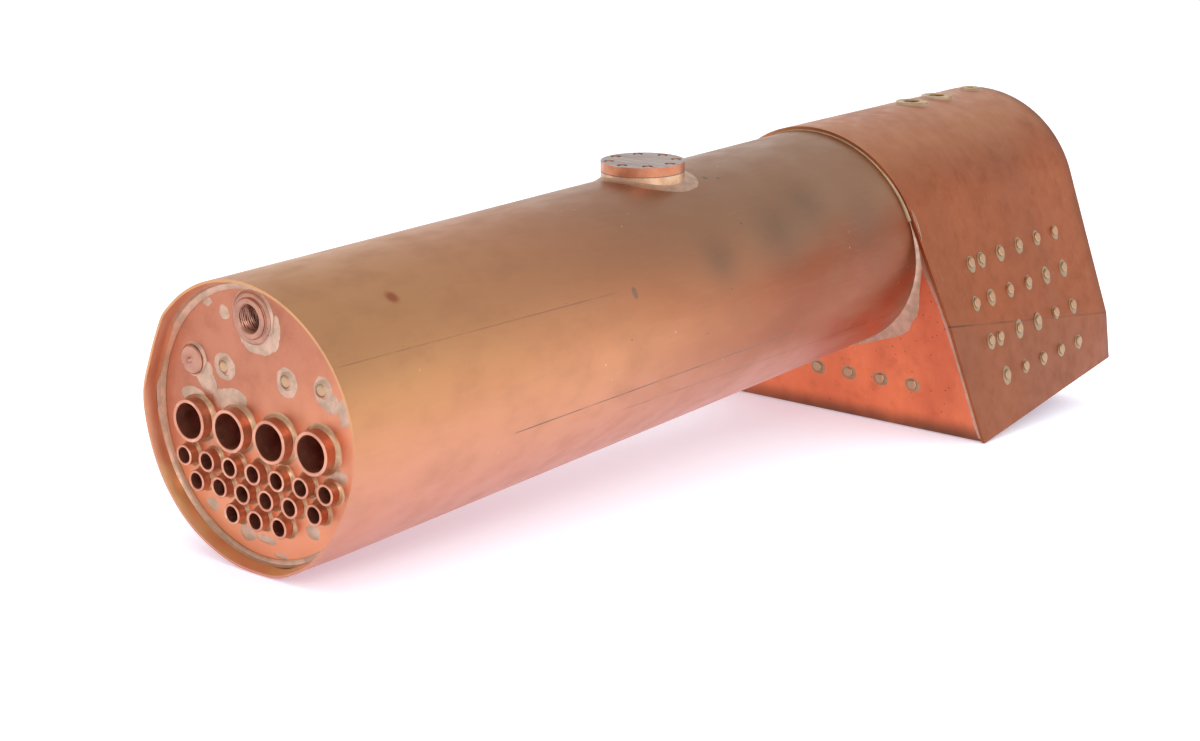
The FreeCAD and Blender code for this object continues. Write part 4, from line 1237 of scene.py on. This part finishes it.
# %% Halos on the sides and the throat
SIDE_STAY_X = -0.4985 - 0.0227 * np.arange(5)
SIDE_ROWS = ((-0.0121, -0.4860), (-0.0336, -0.4810), (-0.0559, -0.4880), (-0.0778, None))
STAY_REACH = 0.0011                      # halos sit this far down-slope of the stay, where solder ran


def side_halos(side):
    """One uneven halo for each stay of one side."""
    rng = np.random.default_rng(60 + side)
    surfaces = []
    for z, extra in SIDE_ROWS:
        for x in list(SIDE_STAY_X) + ([extra] if extra else []):
            size = rng.uniform(0.0037, 0.0047)
            lay = on_wrapper(x + rng.uniform(-0.0003, 0.0003), z - rng.uniform(0.2, 0.9) * STAY_REACH, side)
            longer, seed = size * rng.uniform(1.0, 1.25), int(rng.integers(9999))
            surfaces.append(puddle(lay, size, longer, 0.00042, seed, 0.12, 40, 6))
    return together(surfaces)


add_piece("side_stay_halos_left", side_halos(1), HALO_FINISH)
add_piece("side_stay_halos_right", side_halos(-1), HALO_FINISH)
throat_low, throat_high = box("throat_stays")
THROAT_STAY_Z = (throat_low[2] + throat_high[2]) / 2
throat_y = np.linspace(throat_low[1] + 0.003, throat_high[1] - 0.003, 6)
throat_halos = [puddle(on_throat(y, THROAT_STAY_Z - 0.0004), 0.0050, 0.0044, 0.0005, 90 + i, 0.10, 44, 6)
                for i, y in enumerate(throat_y)]
add_piece("throat_stay_halos", together(throat_halos), HALO_FINISH)
BACK_STAYS = ((40, -12), (46, -34), (52, -56), (17, -73))    # side and height in mm, the same on both sides
BACK_STAY_PLACES = [(side * y * MM, z * MM) for y, z in BACK_STAYS for side in (1, -1)]
back_halos = [puddle(on_back_plate(y, z), 0.0046, 0.0048, 0.0004, 120 + i, 0.12, 40, 6)
              for i, (y, z) in enumerate(BACK_STAY_PLACES)]
add_piece("backhead_stay_halos", together(back_halos), HALO_FINISH)
print("halos:", len(throat_halos) + len(back_halos))

# %% [markdown]
# ## The dome
#
# The ring is soldered into a hole in the barrel, and the cover is bolted down on a thin gasket by eight screws
# in counterbores. The ring and the cover are the frame's own solids. The solder at the ring's foot is laid on
# a saddle: at each turn round the ring the barrel's height is the square root of radius squared less side
# squared. The screws are turned again here with a domed head and a slot, because the frame has plain discs.

# %% Dome solder and screws


def dome_foot_solder(count=160, steps=9):
    """Skirt of solder round the dome ring, wider and more ragged to the rear left, laid on the barrel."""
    turn = np.linspace(0, 2 * np.pi, count, endpoint=False)[:, None]
    t = np.linspace(0.0, 1.0, steps)[None, :]
    spread = 0.0034 * (1.0 + 0.9 * wobble(turn, 15, (3, 5, 8, 13, 21, 34)))
    spread = spread + 0.0040 * np.exp(-(((np.degrees(turn) - 128.0) / 34.0) ** 2))
    r = DOME_R - 0.0003 + spread * t
    rise = (0.0014 * (1.0 - t) ** 2.2 + 0.00022 * (1.0 - t**4)) * np.ones_like(turn)
    sunk = np.full_like(r, -0.0006)
    r, rise = np.concatenate([r, r[:, ::-1]], axis=1), np.concatenate([rise, sunk], axis=1)
    y = r * np.sin(turn)
    height = np.sqrt(BARREL_R**2 - y**2) + rise
    return ring_of_loops(np.stack([DOME_X + r * np.cos(turn), y, height], axis=-1))


add_piece("dome_foot_solder", dome_foot_solder(), SOLDER_FINISH)
COVER_SCREWS, SCREW_CIRCLE_R, SCREW_HEAD_R, SCREW_SHANK_R = 8, 0.0170, 0.0023, 0.0014
SLOT_WIDTH, SLOT_DEPTH = 0.0005, 0.0005
screw_low, screw_high = box("dome_screws")


def screw(angle, slot_turn):
    """One screw: polar grid over the head, down its side, in under it and down the shank.

    The head's top falls by the square of the radius, less a groove where the distance from the slot's line is
    under half the slot's width.
    """
    centre = np.array([DOME_X + SCREW_CIRCLE_R * np.cos(angle), SCREW_CIRCLE_R * np.sin(angle), 0.0])
    turn = np.linspace(0, 2 * np.pi, 60, endpoint=False)[:, None]
    top_r = np.linspace(0.0, SCREW_HEAD_R - 0.0001, 26)[None, :] * np.ones_like(turn)
    across = np.abs(top_r * np.sin(turn - slot_turn))
    top_z = screw_high[2] - 0.00035 * (top_r / SCREW_HEAD_R) ** 2 - SLOT_DEPTH * (across < SLOT_WIDTH / 2)
    under_z = screw_high[2] - 0.0019
    rest_r = np.array([SCREW_HEAD_R, SCREW_HEAD_R, SCREW_SHANK_R, SCREW_SHANK_R, 0.0]) * np.ones_like(turn)
    edge_z, end_z = screw_high[2] - 0.0006, screw_low[2]
    rest_z = np.array([edge_z, under_z, under_z, end_z, end_z]) * np.ones_like(turn)
    r, z = np.concatenate([top_r, rest_r], axis=1), np.concatenate([top_z, rest_z], axis=1)
    return ring_of_loops(centre + np.stack([r * np.cos(turn), r * np.sin(turn), z], axis=-1))


slot_turns = np.random.default_rng(8).uniform(0, np.pi, COVER_SCREWS)
screws = [screw(2 * np.pi * k / COVER_SCREWS, slot_turns[k]) for k in range(COVER_SCREWS)]
add_piece("dome_cover_screws", together(screws), SCREW_FINISH, ["dome_screws"], LID_BODY)
print("dome screws:", len(screws))

# %% [markdown]
# ## Top and rear fittings
#
# The bushes on the wrapper stand in low, lumpy rings of solder that follow the arched sheet. At the rear, each
# bush, each stay head and the firehole ring has its own fillet, and a bead joins the backhead to the wrapper.

# %% Fillets on the wrapper's top and on the backhead
top_fillets = []
for number, name in enumerate(TOP_BUSHES):
    low, high = box(name)
    r, x = (high[0] - low[0]) / 2, middle_of(name)[0]
    turn = np.linspace(0, 2 * np.pi, 96, endpoint=False)[:, None]
    t = np.linspace(0.0, 1.0, 6)[None, :]
    ring_r = r - 0.0002 + (0.0017 + 0.0008 * wobble(turn, 70 + number, (2, 3, 5, 9))) * t
    y = ring_r * np.sin(turn)
    ring_x = x + ring_r * np.cos(turn)
    share = (ring_x - JOINT_X) / (REAR_X - JOINT_X)
    skin = share * REAR_ARC_Z + np.sqrt(lerp(FRONT_ARC_R, REAR_ARC_R, share) ** 2 - y**2)
    rise = 0.0009 * (1.0 - t) ** 2 + 0.00016 * (1.0 - t**4)
    points = np.stack([ring_x, y, skin + rise], axis=-1)
    under = np.stack([ring_x, y, skin - 0.0004], axis=-1)
    top_fillets.append(ring_of_loops(np.concatenate([points, under[:, ::-1]], axis=1)))
add_piece("top_bush_fillets", together(top_fillets), SOLDER_FINISH)

back_fillets = []
for number, name in enumerate(sorted(BORE_RADII)):
    if name in TOP_BUSHES:
        continue
    low, high = box(name)
    centre = (BACK_X, middle_of(name)[1], middle_of(name)[2])
    r = (high[1] - low[1]) / 2
    back_fillets.append(fillet_ring(centre, REARWARD, r, 0.0015, 0.0011, 400 + number, 56))
ring_low, ring_high = box("firehole_ring")
RING_OUT_R, RING_IN_R = (ring_high[1] - ring_low[1]) / 2, 0.022
ring_middle = (ring_low + ring_high) / 2
back_fillets.append(fillet_ring((BACK_X, 0.0, ring_middle[2]), REARWARD, RING_OUT_R, 0.0022, 0.0013, 420, 128))
for number, name in enumerate(LONG_STAYS):
    centre = (BACK_X, middle_of(name)[1], middle_of(name)[2])
    back_fillets.append(fillet_ring(centre, REARWARD, STAY_HEAD_R, 0.0018, 0.0009, 430 + number))
add_piece("backhead_fillets", together(back_fillets), SOLDER_FINISH)

ring_rear, ring_front = ring_low[0], ring_high[0]
ring_profile = [(ring_rear, RING_IN_R + EASED), (ring_rear, RING_OUT_R - EASED),
                (ring_rear + EASED, RING_OUT_R), (ring_front - EASED, RING_OUT_R),
                (ring_front, RING_OUT_R - EASED), (ring_front, RING_IN_R + EASED),
                (ring_front - EASED, RING_IN_R), (ring_rear + EASED, RING_IN_R)]
add_piece("firehole_ring_turned", turned(ring_profile, (0.0, 0.0, ring_middle[2]), FORWARD, 128),
          BACKHEAD_FINISH, ["firehole_ring"])


def backhead_edge_bead():
    """All the way over, foot to foot: inner face of the wrapper to the backhead."""
    s = np.linspace(-0.99, 0.99, 360)
    s[np.abs(s) < 1e-6] = 1e-6
    x = np.full_like(s, BACK_X)
    y, z = wrapper_section(s, x, WRAPPER_T)
    path = np.column_stack([x, y, z])
    along = unit(np.gradient(path, axis=0))
    inward = np.cross(along, [-1.0, 0.0, 0.0])
    inward *= np.sign(np.sum(inward * (np.array([BACK_X, 0.0, -0.02]) - path), axis=1, keepdims=True))
    width = seam_noise(len(s), 55, 0.0010, 0.0024)
    rearward = seam_noise(len(s), 56, 0.0005, 0.0009)
    return bead(path, inward, np.tile([-1.0, 0.0, 0.0], (len(s), 1)), width, rearward)


add_piece("backhead_edge_solder", backhead_edge_bead(), SOLDER_FINISH)
print("rear fittings done")

# %% [markdown]
# ## The frame's own solids
#
# Flat plates, flanges, stays, girders and bars already have the right shape. They stay as they are and only
# get a finish, through their material slots.

# %% Finish what stays
SAME_FINISH = (
    (THROAT_FINISH, "throatplate"), (PLATE_FINISH, "front_tubeplate"), (BACKHEAD_FINISH, "backhead"),
    (FIREBOX_FINISH, "firebox_tubeplate firebox_doorplate firebox_wrapper"),
    (FIREBOX_FINISH, "crown_girder_left crown_girder_middle crown_girder_right"),
    (BAR_FINISH, "foundation_bar_front foundation_bar_rear foundation_bar_left foundation_bar_right"),
    (STAY_FINISH, "side_stays_left side_stays_right throat_stays backhead_stays"),
    (RING_FINISH, "dome_ring"), (GASKET_FINISH, "dome_gasket"), (COVER_FINISH, "dome_cover"))
KEPT_NODES = {name: finish for finish, names in SAME_FINISH for name in names.split()}
for name, finish in KEPT_NODES.items():
    for material_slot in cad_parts[name].material_slots:
        material_slot.material = finish
left_plain = [n for n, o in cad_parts.items() if n not in KEPT_NODES and not o.hide_render]
print("kept nodes:", len(KEPT_NODES), "left plain:", left_plain)
